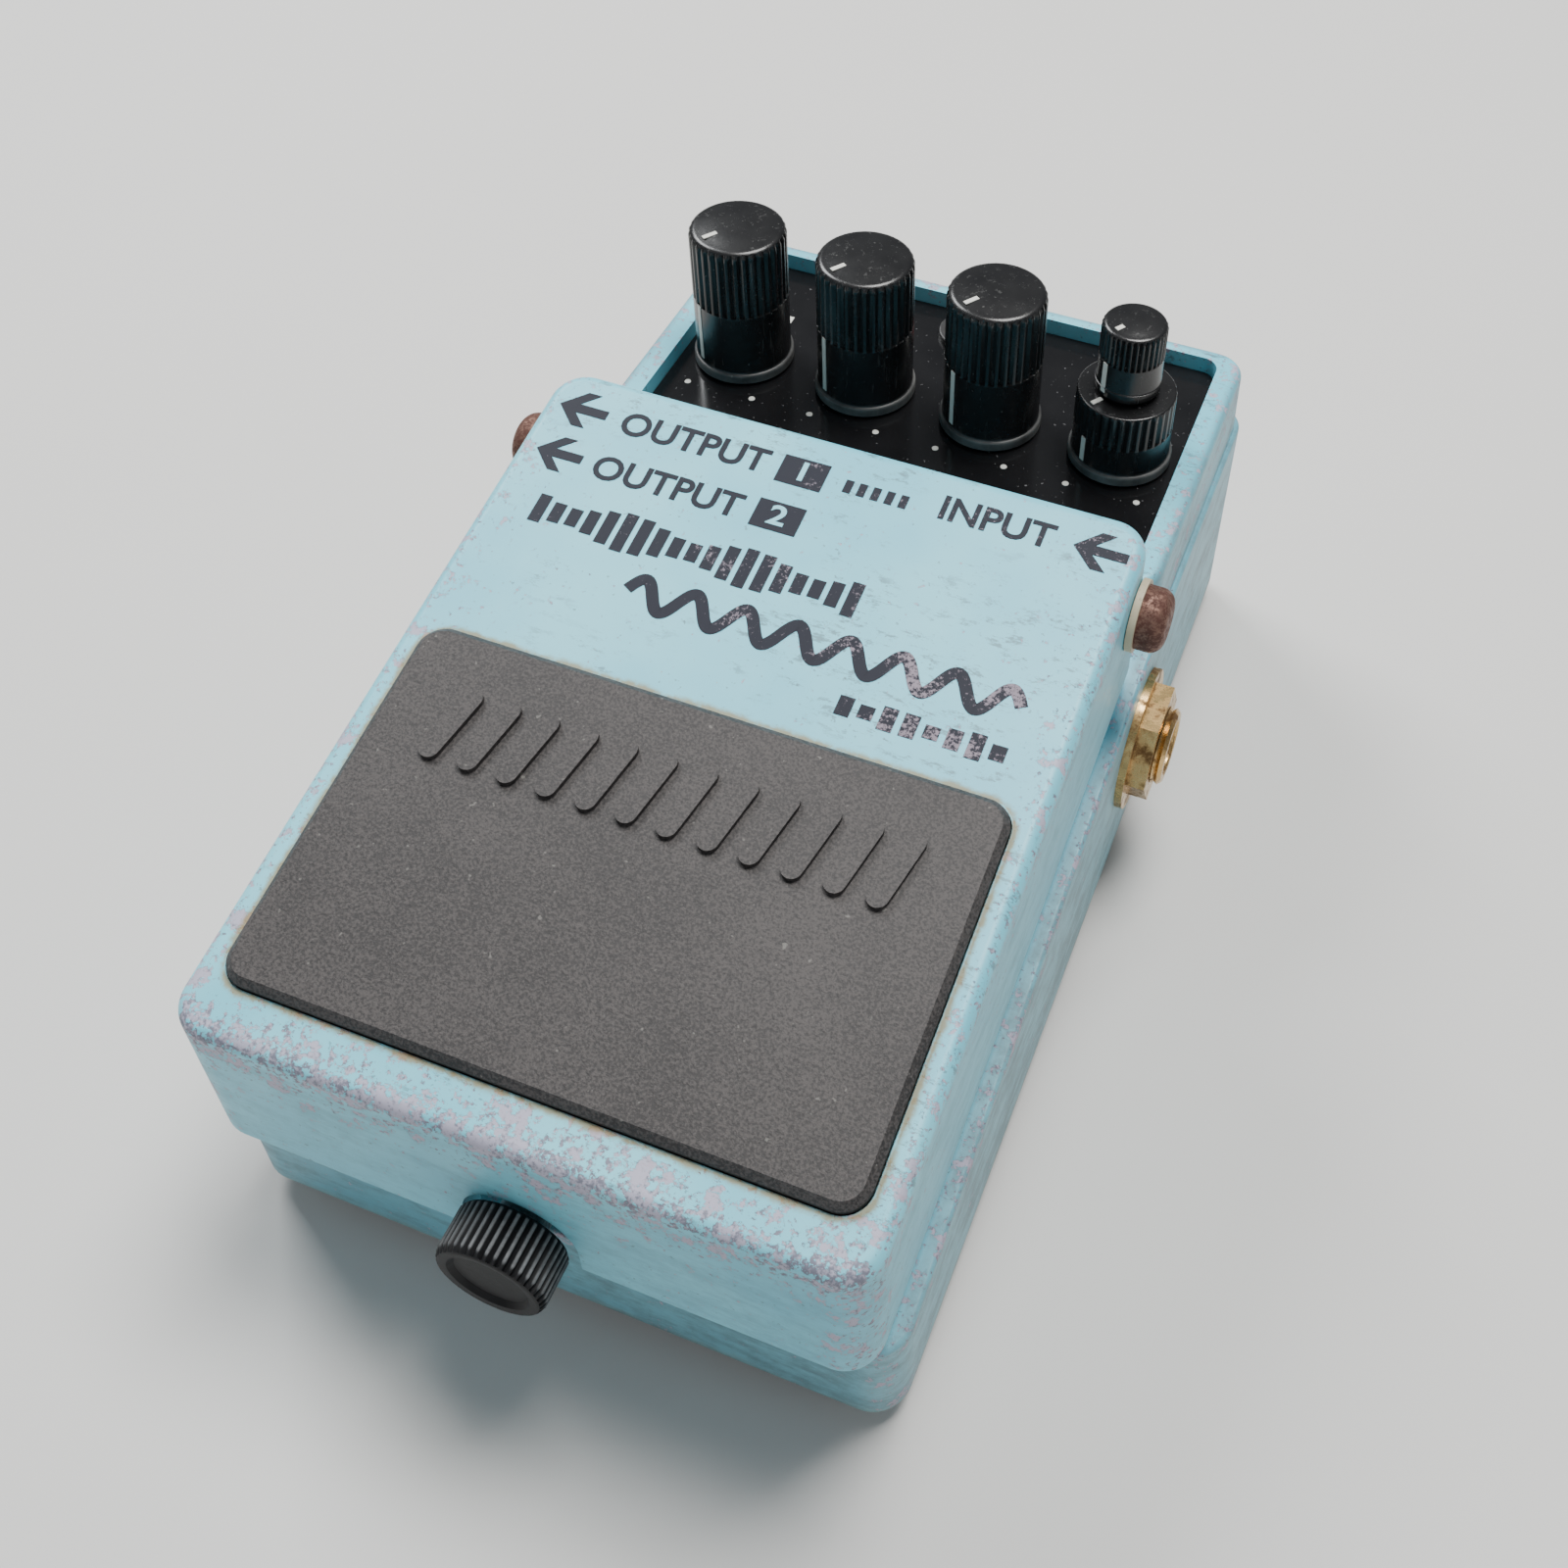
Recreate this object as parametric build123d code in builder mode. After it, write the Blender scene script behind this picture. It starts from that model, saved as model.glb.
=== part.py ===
"""A compact guitar effects pedal: case, treadle, knobs, thumbscrew, jacks and electronics.

Millimetres. +X is the player's right, +Y the rear, where the knobs stand, and +Z is up.
The origin is on the underside of the rubber base mat, near the middle of the case.
"""
from build123d import *
import math
import os

os.makedirs("parts", exist_ok=True)

# ---- driving dimensions -------------------------------------------------------------
CASE_W = 73.0            # width over the two ledges
CASE_L = 125.0           # front wall to rear wall
REAR_Y = 64.5            # outer face of the rear wall
WALL = 3.0               # die-cast wall
CORNER_R = 4.0           # plan radius of the case and of the treadle

MAT_T = 2.0              # rubber base mat
PLATE_T = 1.2            # steel bottom plate
RIM_Z = 41.0             # top of the rim round the knobs
PANEL_DEPTH = 2.2        # from the rim down to the panel
PANEL_T = 0.8
PANEL_W = 65.0
ROOF_T = 2.2             # casting left below the panel

LEDGE_FRONT_Z = 17.0     # ledge height at the front wall
SLOPE = 0.185            # rise over run of the ledge and of the treadle
TREADLE_W = 70.0
TREADLE_T = 2.5
TREADLE_FRONT_Y = -63.5
TREADLE_REAR_Y = 17.5
TREADLE_FRONT_Z = 38.5   # top face at the front edge
SKIRT_FRONT_Z = 19.5     # bottom edge at the front
HINGE_Y = 12.0
HINGE_Z = 45.0
PIN_R = 2.0
PIN_HEAD_R = 3.6
BUSH_R = 3.0

REAR_WALL_X = 27.6       # half width of the treadle's rear wall
UPSTAND_X = 31.7         # half width of the case's upstand inside the skirt
UPSTAND_Y = -58.8
UPSTAND_H = 6.0

PAD_W = 64.5
PAD_NEAR = 5.0           # distances up the slope from the treadle's front edge
PAD_FAR = 46.0
PAD_SINK = 1.2
PAD_RISE = 1.3
GRIP_BARS = 12

KNOB_PITCH = 16.6
KNOB_Y = 42.6
KNOB_TOP = 59.0
KNOB_R = 5.95
KNOB_FOOT = 0.4          # gap between a knob and the panel
RING_TOP = 49.5          # top of the lower knob of the double one
SMALL_KNOB_R = 3.85
SHAFT_R = 3.0
INNER_SHAFT_R = 2.0
BUSHING_R = 3.6          # threaded neck of a potentiometer
POT_R = 8.0
POT_FLOOR = 27.0         # lower end of the shafts
RUN_FIT = 0.08           # radial clearance of a turning fit
LAMP_Y = 57.0
LAMP_R = 2.5

JACK_Z = 19.0
JACK_R = 4.7             # outside of a threaded bushing
JACK_BORE_R = 3.3        # takes a 6.35 mm plug
JACK_OUT = 4.4           # bushing beyond the case wall
JACK_BODY = (22.0, 14.6, 11.0)
JACK_WASHER_R = 8.6
INPUT_Y = 17.0
OUTPUT_A_Y = 22.0
OUTPUT_B_Y = 3.8
DC_X = -18.0
DC_Z = 12.0
DC_R = 4.0

SCREW_Z = 23.6           # axis of the thumbscrew
SCREW_HEAD_R = 5.7
SCREW_HEAD_L = 5.4
SCREW_COLLAR_R = 2.6
SCREW_R = 2.0
SCREW_GAP = 0.4          # from the treadle's front wall to the head
NOTCH_DROP = 1.0         # the lifting treadle comes forward to the head only above this
INSERT_R = 3.2
RIDGES = 40

BATTERY = (26.5, 48.5, 17.5)
BATTERY_PLACE = (-19.5, -29.2)
POSTS = [(29.5, -56.6), (-29.5, -56.6), (29.5, 57.0), (-29.5, 57.0)]
POST_R = 2.4
SCREW_HOLE_R = 1.4       # bottom screws
SWITCH_PLACE = (15.0, -28.0)
SWITCH_H = 5.0
BUTTON_R = 2.5
BUTTON_OUT = 1.6
PLUNGER_DROP = 9.0       # length of the treadle's post above its tip
SPRING_PLACE = (15.0, -46.0)

# ---- worked out from them -----------------------------------------------------------
HALF_W = CASE_W / 2
FRONT_Y = REAR_Y - CASE_L
BASE_Z = MAT_T + PLATE_T
PANEL_Z = RIM_Z - PANEL_DEPTH
REAR_FRONT_Y = TREADLE_REAR_Y + 1.8      # front of the raised rear section
REAR_LEN = REAR_Y - REAR_FRONT_Y
REAR_MID = REAR_Y - REAR_LEN / 2
TILT = math.atan(SLOPE)
UP_SLOPE = (0, -math.sin(TILT), math.cos(TILT))
KNOB_PLACES = [KNOB_PITCH * (i - 1.5) for i in range(4)]
DUAL_X = KNOB_PLACES[3]


def ledge_z(y):
    """Height of the case's sloping ledge at y."""
    return LEDGE_FRONT_Z + SLOPE * (y - FRONT_Y)


def treadle_z(y):
    """Height of the treadle's top face at y."""
    return TREADLE_FRONT_Z + SLOPE * (y - TREADLE_FRONT_Y)


def underside_z(y):
    """Height of the treadle's inner face at y."""
    return treadle_z(y) - TREADLE_T / math.cos(TILT)


def hinge_point(radius, degrees):
    """A (y, z) point about the hinge axis, the angle counted up from the rear."""
    angle = math.radians(degrees)
    return (HINGE_Y + radius * math.cos(angle), HINGE_Z + radius * math.sin(angle))


def slope_plane(x, y, z):
    """A plane at a point, square to the treadle's slope, its own Y going uphill."""
    return Plane(origin=(x, y, z), x_dir=(1, 0, 0), z_dir=UP_SLOPE)


def treadle_plane(along):
    """The treadle's top face, centred a distance up the slope from its front edge."""
    y = TREADLE_FRONT_Y + along * math.cos(TILT)
    return slope_plane(0, y, treadle_z(y))


def save(piece, node):
    """Label a finished piece and write it as its own STEP file."""
    piece.part.label = node
    export_step(piece.part, f"parts/{node}.step")


# ---- case ---------------------------------------------------------------------------
def make_case_shell():
    """The die-cast base: sloping ledge, raised rear section, lugs, wells and holes."""
    side = [(FRONT_Y, BASE_Z), (REAR_Y, BASE_Z), (REAR_Y, ledge_z(REAR_FRONT_Y)),
            (REAR_FRONT_Y, ledge_z(REAR_FRONT_Y)), (FRONT_Y, LEDGE_FRONT_Z)]
    inner_top = ledge_z(REAR_FRONT_Y) - WALL
    hollow = [(FRONT_Y + WALL, BASE_Z), (REAR_Y - WALL, BASE_Z), (REAR_Y - WALL, inner_top),
              (REAR_FRONT_Y, inner_top), (FRONT_Y + WALL, ledge_z(FRONT_Y + WALL) - WALL)]
    rear_foot = ledge_z(REAR_FRONT_Y) - 1
    roof_z = PANEL_Z - PANEL_T - ROOF_T
    with BuildPart() as case:
        with BuildSketch(Plane.YZ):
            with BuildLine():
                Polyline(*side, close=True)
            make_face()
        extrude(amount=HALF_W, both=True)
        fillet(case.edges().filter_by(Axis.Z), CORNER_R)
        ledge_edges = case.edges().filter_by(lambda e: e.center().Z > LEDGE_FRONT_Z - 0.5)
        fillet(ledge_edges.filter_by(lambda e: abs(e.center().Y - REAR_FRONT_Y) > 0.5), 0.5)
        with BuildSketch(Plane.XY.offset(rear_foot)):
            with Locations((0, REAR_MID)):
                RectangleRounded(CASE_W - 1.2, REAR_LEN - 1.2, CORNER_R)
        extrude(amount=RIM_Z - rear_foot, taper=1.5)
        fillet(case.edges().group_by(Axis.Z)[-1], 1.0)
        # open underside
        with BuildSketch(Plane.YZ):
            with BuildLine():
                Polyline(*hollow, close=True)
            make_face()
        extrude(amount=HALF_W - WALL, both=True, mode=Mode.SUBTRACT)
        with BuildSketch(Plane.XY.offset(BASE_Z)):
            with Locations((0, REAR_MID)):
                Rectangle(CASE_W - 2 * WALL - 1, REAR_LEN - 2 * WALL - 2)
        extrude(amount=roof_z - BASE_Z, mode=Mode.SUBTRACT)
        # recess for the control panel
        with BuildSketch(Plane.XY.offset(PANEL_Z - PANEL_T)):
            with Locations((0, REAR_MID)):
                RectangleRounded(PANEL_W, REAR_LEN - 2 * WALL, 2.0)
        extrude(amount=RIM_Z, mode=Mode.SUBTRACT)
        # posts for the bottom screws, up to the deck in front and to the roof behind
        for x, y in POSTS:
            post_top = roof_z + 0.5 if y > 0 else ledge_z(y) - 1
            with BuildSketch(Plane.XY.offset(BASE_Z)):
                with Locations((x, y)):
                    Circle(POST_R)
            extrude(amount=post_top - BASE_Z)
        # upstand just inside the treadle's skirt
        with BuildSketch(Plane.YZ):
            with BuildLine():
                Polyline((UPSTAND_Y, ledge_z(UPSTAND_Y) - 1), (UPSTAND_Y, ledge_z(UPSTAND_Y) + UPSTAND_H),
                         (HINGE_Y - 4, ledge_z(HINGE_Y - 4) + UPSTAND_H), (HINGE_Y - 4, ledge_z(HINGE_Y - 4) - 1),
                         close=True)
            make_face()
        extrude(amount=UPSTAND_X, both=True)
        with BuildSketch(Plane.XY.offset(LEDGE_FRONT_Z - 1)):
            with Locations((0, (UPSTAND_Y + 1.8 + HINGE_Y) / 2)):
                RectangleRounded(2 * UPSTAND_X - 3.6, HINGE_Y - UPSTAND_Y - 1.8, 1.5)
        extrude(amount=30, mode=Mode.SUBTRACT)
        with BuildSketch(Plane.YZ):
            with BuildLine():
                Polyline((FRONT_Y + WALL, ledge_z(FRONT_Y + WALL) - WALL), (FRONT_Y + WALL, ledge_z(FRONT_Y + WALL)),
                         (HINGE_Y + 5, ledge_z(HINGE_Y + 5)), (HINGE_Y + 5, ledge_z(HINGE_Y + 5) - WALL), close=True)
            make_face()
        extrude(amount=HALF_W - WALL - 0.5, both=True)
        # lugs for the hinge pins
        for lug_x in (-29.9, 29.9):
            with BuildSketch(Plane.YZ.offset(lug_x)):
                with Locations((HINGE_Y, HINGE_Z)):
                    Circle(4.5)
                with Locations((HINGE_Y, (HINGE_Z + ledge_z(HINGE_Y)) / 2 - 1.2)):
                    Rectangle(9, HINGE_Z - ledge_z(HINGE_Y) + 2.4)
            extrude(amount=1.8, both=True)
        # lug for the thumbscrew
        with BuildSketch(Plane.XY.offset(LEDGE_FRONT_Z - 4)):
            with Locations((0, FRONT_Y + 4.9)):
                Rectangle(11, 5.8)
        extrude(amount=SCREW_Z + 4.6 - LEDGE_FRONT_Z + 4)
        # holes
        with BuildSketch(Plane.YZ):
            with Locations((HINGE_Y, HINGE_Z)):
                Circle(PIN_R)
        extrude(amount=HALF_W, both=True, mode=Mode.SUBTRACT)
        with BuildSketch(Plane.XY):
            with Locations(*[(x, KNOB_Y) for x in KNOB_PLACES]):
                Circle(BUSHING_R + 0.1)
            with Locations((0, LAMP_Y)):
                Circle(LAMP_R + 0.1)
            with Locations(BATTERY_PLACE):
                Rectangle(BATTERY[0] + 1.2, BATTERY[1] + 1.2)
        extrude(amount=RIM_Z, mode=Mode.SUBTRACT)
        with BuildSketch(Plane.XY):
            with Locations(*POSTS):
                Circle(SCREW_HOLE_R)
        extrude(amount=BASE_Z + 8, mode=Mode.SUBTRACT)
        with BuildSketch(Plane.XZ.offset(-FRONT_Y + 1)):
            with Locations((0, SCREW_Z)):
                Circle(INSERT_R)
        extrude(amount=-10, mode=Mode.SUBTRACT)
        with BuildSketch(Plane.YZ):
            with Locations((INPUT_Y, JACK_Z)):
                Circle(JACK_R)
        extrude(amount=HALF_W + 1, mode=Mode.SUBTRACT)
        with BuildSketch(Plane.YZ):
            with Locations((OUTPUT_A_Y, JACK_Z), (OUTPUT_B_Y, JACK_Z)):
                Circle(JACK_R)
        extrude(amount=-HALF_W - 1, mode=Mode.SUBTRACT)
        with BuildSketch(Plane.XZ.offset(-REAR_Y - 1)):
            with Locations((DC_X, DC_Z)):
                Circle(DC_R)
        extrude(amount=WALL + 3, mode=Mode.SUBTRACT)
    save(case, "case_shell")


def make_base():
    """The rubber mat, the steel plate above it and the four screws that hold the plate."""
    plate_size = (CASE_W - 4, CASE_L - 5)
    middle = (FRONT_Y + REAR_Y) / 2
    with BuildPart() as mat:
        with BuildSketch():
            with Locations((0, middle)):
                RectangleRounded(*plate_size, CORNER_R)
            with Locations(*POSTS):
                Circle(3.4, mode=Mode.SUBTRACT)
        extrude(amount=MAT_T)
    save(mat, "base_mat")
    with BuildPart() as plate:
        with BuildSketch(Plane.XY.offset(MAT_T)):
            with Locations((0, middle)):
                RectangleRounded(*plate_size, CORNER_R)
            with Locations(*POSTS):
                Circle(1.6, mode=Mode.SUBTRACT)
        extrude(amount=PLATE_T)
    save(plate, "bottom_plate")
    for number, (x, y) in enumerate(POSTS, 1):
        with BuildPart() as screw:
            with BuildSketch(Plane.XZ.offset(-y)):
                with BuildLine():
                    Polyline((x, MAT_T - 1.2), (x + 2.6, MAT_T - 1.2), (x + 2.6, MAT_T), (x + SCREW_HOLE_R, MAT_T),
                             (x + SCREW_HOLE_R, BASE_Z + 7), (x, BASE_Z + 7), close=True)
                make_face()
            revolve(axis=Axis((x, y, 0), (0, 0, 1)))
            with BuildSketch(Plane.XY.offset(MAT_T - 1.2)):
                with Locations((x, y)):
                    Rectangle(3.4, 0.7)
                    Rectangle(0.7, 3.4)
            extrude(amount=0.6, mode=Mode.SUBTRACT)
        save(screw, f"bottom_screw_{number}")


def make_panel():
    """The black control panel, the lamp and its bezel."""
    with BuildPart() as panel:
        with BuildSketch(Plane.XY.offset(PANEL_Z - PANEL_T)):
            with Locations((0, REAR_MID)):
                RectangleRounded(PANEL_W - 0.2, REAR_LEN - 2 * WALL - 0.2, 1.9)
            with Locations(*[(x, KNOB_Y) for x in KNOB_PLACES]):
                Circle(BUSHING_R + 0.1, mode=Mode.SUBTRACT)
            with Locations((0, LAMP_Y)):
                Circle(LAMP_R + 0.1, mode=Mode.SUBTRACT)
        extrude(amount=PANEL_T)
    save(panel, "control_panel")
    with BuildPart() as bezel:
        with BuildSketch(Plane.XY.offset(PANEL_Z)):
            with Locations((0, LAMP_Y)):
                Circle(3.6)
                Circle(LAMP_R + 0.05, mode=Mode.SUBTRACT)
        extrude(amount=0.9)
        fillet(bezel.faces().sort_by(Axis.Z)[-1].edges(), 0.3)
    save(bezel, "lamp_bezel")
    with BuildPart() as lens:
        with BuildSketch(Plane.XY.offset(PANEL_Z - 6)):
            with Locations((0, LAMP_Y)):
                Circle(LAMP_R)
        extrude(amount=8.2)
        fillet(lens.faces().sort_by(Axis.Z)[-1].edges(), 2.0)
    save(lens, "lamp_lens")


def make_hinge():
    """The two hinge pins with their round heads, and the bushes they turn the treadle on."""
    outer = TREADLE_W / 2
    for side, name in ((1, "right"), (-1, "left")):
        with BuildPart() as pin:
            with BuildSketch(Plane.YZ.offset(side * 27.0)):
                with Locations((HINGE_Y, HINGE_Z)):
                    Circle(PIN_R)
            extrude(amount=side * (outer + 1.0 - 27.0))
            with BuildSketch(Plane.YZ.offset(side * (outer + 0.9))):
                with Locations((HINGE_Y, HINGE_Z)):
                    Circle(PIN_HEAD_R)
            extrude(amount=side * 3.0)
            far = pin.faces().sort_by(Axis.X)[-1 if side > 0 else 0]
            fillet(far.edges(), 1.6)
        save(pin, f"hinge_pin_{name}")
        with BuildPart() as bush:
            with BuildSketch(Plane.YZ.offset(side * 31.75)):
                with Locations((HINGE_Y, HINGE_Z)):
                    Circle(BUSH_R)
            extrude(amount=side * (outer + 0.1 - 31.75))
            with BuildSketch(Plane.YZ.offset(side * (outer + 0.1))):
                with Locations((HINGE_Y, HINGE_Z)):
                    Circle(PIN_HEAD_R + 0.5)
            extrude(amount=side * 0.8)
            with BuildSketch(Plane.YZ):
                with Locations((HINGE_Y, HINGE_Z)):
                    Circle(PIN_R)
            extrude(amount=side * HALF_W * 2, mode=Mode.SUBTRACT)
        save(bush, f"hinge_bush_{name}")


# ---- treadle ------------------------------------------------------------------------
def make_treadle():
    """The cast treadle, its rubber pad and the tip that works the switch."""
    front, rear = TREADLE_FRONT_Y, TREADLE_REAR_Y
    skirt_rear = SKIRT_FRONT_Z + SLOPE * (rear - front)
    side = [(front, SKIRT_FRONT_Z), (front, TREADLE_FRONT_Z), (rear, treadle_z(rear)), (rear, skirt_rear)]
    inner_front = front + TREADLE_T
    hollow = [(inner_front, 0), (inner_front, underside_z(inner_front)),
              (rear + 10, underside_z(rear + 10)), (rear + 10, 0)]
    pad_l = PAD_FAR - PAD_NEAR
    pad_plane = treadle_plane((PAD_FAR + PAD_NEAR) / 2)
    switch_x, switch_y = SWITCH_PLACE
    post_plane = slope_plane(switch_x, switch_y, underside_z(switch_y))
    with BuildPart() as treadle:
        with BuildSketch(Plane.YZ):
            with BuildLine():
                Polyline(*side, close=True)
            make_face()
        extrude(amount=TREADLE_W / 2, both=True)
        fillet(treadle.edges().filter_by(Axis.Z), CORNER_R)
        fillet(treadle.faces().sort_by(Axis.Z)[-1].edges(), 1.4)
        with BuildSketch(Plane.YZ):
            with BuildLine():
                Polyline(*hollow, close=True)
            make_face()
        extrude(amount=TREADLE_W / 2 - TREADLE_T, both=True, mode=Mode.SUBTRACT)
        with BuildSketch(pad_plane):
            RectangleRounded(PAD_W, pad_l, 3.0)
        extrude(amount=-PAD_SINK, mode=Mode.SUBTRACT)
        with BuildSketch(pad_plane.offset(-TREADLE_T + 0.2)):
            RectangleRounded(PAD_W - 3, pad_l + 3, 3.0)
        extrude(amount=-1.2)
        with BuildSketch(post_plane):
            Circle(3.0)
        extrude(amount=-PLUNGER_DROP)
        # rear wall between the lugs, curved round the hinge below it
        with BuildSketch(Plane.YZ):
            with BuildLine():
                Polyline((rear - 1.2, HINGE_Z), (rear - 1.2, underside_z(rear) + 0.5),
                         (rear, underside_z(rear) + 0.5), (rear, HINGE_Z))
                CenterArc((HINGE_Y, HINGE_Z), rear - HINGE_Y, 0, -65)
                Line(hinge_point(rear - HINGE_Y, -65), hinge_point(rear - HINGE_Y - 1.2, -65))
                CenterArc((HINGE_Y, HINGE_Z), rear - HINGE_Y - 1.2, 0, -65)
            make_face()
        extrude(amount=REAR_WALL_X, both=True)
        # turning holes for the bushes
        with BuildSketch(Plane.YZ):
            with Locations((HINGE_Y, HINGE_Z)):
                Circle(BUSH_R + RUN_FIT)
        extrude(amount=TREADLE_W, both=True, mode=Mode.SUBTRACT)
        # notch behind the thumbscrew's head, open at the bottom so that the treadle lifts past it
        notch_r = SCREW_HEAD_R + 0.35
        notch_z = SCREW_Z - NOTCH_DROP
        with BuildSketch(Plane.XZ.offset(-front + 1)):
            with Locations((0, notch_z)):
                Circle(notch_r)
            with Locations((0, notch_z - 10)):
                Rectangle(2 * notch_r, 20)
        extrude(amount=-6, mode=Mode.SUBTRACT)
    save(treadle, "treadle_shell")

    with BuildPart() as pad:
        with BuildSketch(pad_plane.offset(-PAD_SINK)):
            RectangleRounded(PAD_W - 0.3, pad_l - 0.3, 2.9)
        extrude(amount=PAD_SINK + PAD_RISE)
        chamfer(pad.faces().sort_by(Axis.Z)[-1].edges(), 0.7)
        with BuildSketch(treadle_plane(PAD_FAR - 10.5).offset(PAD_RISE)):
            with GridLocations(4.3, 0, GRIP_BARS, 1):
                SlotOverall(8.6, 2.2, rotation=78)
        extrude(amount=0.6)
    save(pad, "treadle_pad")

    with BuildPart() as tip:
        with BuildSketch(post_plane.offset(-PLUNGER_DROP)):
            Circle(2.6)
        extrude(amount=-1.6)
        fillet(tip.faces().sort_by(Axis.Z)[0].edges(), 0.6)
    save(tip, "plunger_tip")


def make_switch():
    """The press switch, its button and the treadle's return spring, on the sloping deck."""
    x, y = SWITCH_PLACE
    deck = slope_plane(x, y, ledge_z(y))
    with BuildPart() as body:
        with BuildSketch(deck):
            RectangleRounded(13, 13, 1.0)
        extrude(amount=SWITCH_H)
        with BuildSketch(deck.offset(0.7)):
            Circle(BUTTON_R + RUN_FIT)
        extrude(amount=SWITCH_H, mode=Mode.SUBTRACT)
    save(body, "switch_body")
    with BuildPart() as button:
        with BuildSketch(deck.offset(2.0)):
            Circle(BUTTON_R)
        extrude(amount=SWITCH_H - 2.0 + BUTTON_OUT)
        fillet(button.faces().sort_by(Axis.Z)[-1].edges(), 0.5)
    save(button, "switch_button")

    x, y = SPRING_PLACE
    wire = 0.45
    coil_r = 4.2
    foot = slope_plane(x, y, ledge_z(y))
    room = (underside_z(y) - ledge_z(y)) * math.cos(TILT)
    height = room - 3.0 - 2 * wire
    with BuildPart() as spring:
        with BuildLine(foot.offset(wire + 0.3)) as path:
            Helix(pitch=height / 6, height=height, radius=coil_r)
        with BuildSketch(Plane(origin=path.line @ 0, z_dir=path.line % 0)):
            Circle(wire)
        sweep(is_frenet=True)
    save(spring, "treadle_spring")


# ---- knobs and potentiometers -------------------------------------------------------
def make_knob(node, x, radius, bottom, top, hollow_r, hollow_h, shaft_r, shaft_top):
    """A knob: a plain lower half on a wider foot, a fluted upper half and a rounded cap."""
    middle = bottom + 0.52 * (top - bottom)
    flutes = 22
    with BuildPart() as knob:
        with BuildSketch(Plane.XY.offset(bottom)):
            with Locations((x, KNOB_Y)):
                Circle(radius + 0.35)
        extrude(amount=1.2)
        fillet(knob.faces().sort_by(Axis.Z)[-1].edges(), 0.3)
        with BuildSketch(Plane.XY.offset(bottom)):
            with Locations((x, KNOB_Y)):
                Circle(radius)
        extrude(amount=top - bottom)
        fillet(knob.faces().sort_by(Axis.Z)[-1].edges(), 0.9)
        with BuildSketch(Plane.XY.offset(middle)):
            with Locations((x, KNOB_Y)):
                with PolarLocations(radius + 0.15, flutes):
                    Circle(0.45)
        extrude(amount=top - middle, mode=Mode.SUBTRACT)
        with BuildSketch(Plane.XY.offset(bottom)):
            with Locations((x, KNOB_Y)):
                Circle(hollow_r)
        extrude(amount=hollow_h, mode=Mode.SUBTRACT)
        with BuildSketch(Plane.XY.offset(bottom)):
            with Locations((x, KNOB_Y)):
                Circle(shaft_r)
        extrude(amount=shaft_top - bottom, mode=Mode.SUBTRACT)
    save(knob, node)


def make_shaft(node, x, radius, top, bore=0.0):
    """A potentiometer shaft from inside its can up into the knob."""
    with BuildPart() as shaft:
        with BuildSketch(Plane.XY.offset(POT_FLOOR)):
            with Locations((x, KNOB_Y)):
                Circle(radius)
                if bore:
                    Circle(bore, mode=Mode.SUBTRACT)
        extrude(amount=top - POT_FLOOR)
    save(shaft, node)


def make_pots():
    """Four potentiometer cans below the roof, each with a nut on the panel."""
    roof_z = PANEL_Z - PANEL_T - ROOF_T
    for number, x in enumerate(KNOB_PLACES, 1):
        with BuildPart() as can:
            with BuildSketch(Plane.XY.offset(roof_z - 10)):
                with Locations((x, KNOB_Y)):
                    Circle(POT_R)
            extrude(amount=9.9)
            with BuildSketch(Plane.XY.offset(roof_z - 1)):
                with Locations((x, KNOB_Y)):
                    Circle(BUSHING_R)
            extrude(amount=PANEL_Z + 4.4 - roof_z + 1)
            with BuildSketch(Plane.XY.offset(POT_FLOOR)):
                with Locations((x, KNOB_Y)):
                    Circle(SHAFT_R + RUN_FIT)
            extrude(amount=30, mode=Mode.SUBTRACT)
        save(can, f"pot_{number}")
        with BuildPart() as nut:
            with BuildSketch(Plane.XY.offset(PANEL_Z)):
                with Locations((x, KNOB_Y)):
                    RegularPolygon(4.75, 6)
                    Circle(BUSHING_R, mode=Mode.SUBTRACT)
            extrude(amount=1.8)
        save(nut, f"pot_nut_{number}")


def make_knobs():
    """Three tall knobs and the double one, with their shafts."""
    foot = PANEL_Z + KNOB_FOOT
    for number, x in enumerate(KNOB_PLACES[:3], 1):
        make_knob(f"knob_{number}", x, KNOB_R, foot, KNOB_TOP, 5.0, 5.2, SHAFT_R, KNOB_TOP - 4)
        make_shaft(f"shaft_{number}", x, SHAFT_R, KNOB_TOP - 4)
    make_knob("knob_4_ring", DUAL_X, KNOB_R, foot, RING_TOP, 5.0, 5.2, SHAFT_R, RING_TOP + 1)
    make_shaft("shaft_4_outer", DUAL_X, SHAFT_R, RING_TOP - 0.3, INNER_SHAFT_R + RUN_FIT)
    make_knob("knob_4_top", DUAL_X, SMALL_KNOB_R, RING_TOP + 0.5, KNOB_TOP + 0.4, INNER_SHAFT_R + 0.3, 1.0,
              INNER_SHAFT_R, KNOB_TOP - 3)
    make_shaft("shaft_4_inner", DUAL_X, INNER_SHAFT_R, KNOB_TOP - 3)


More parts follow.
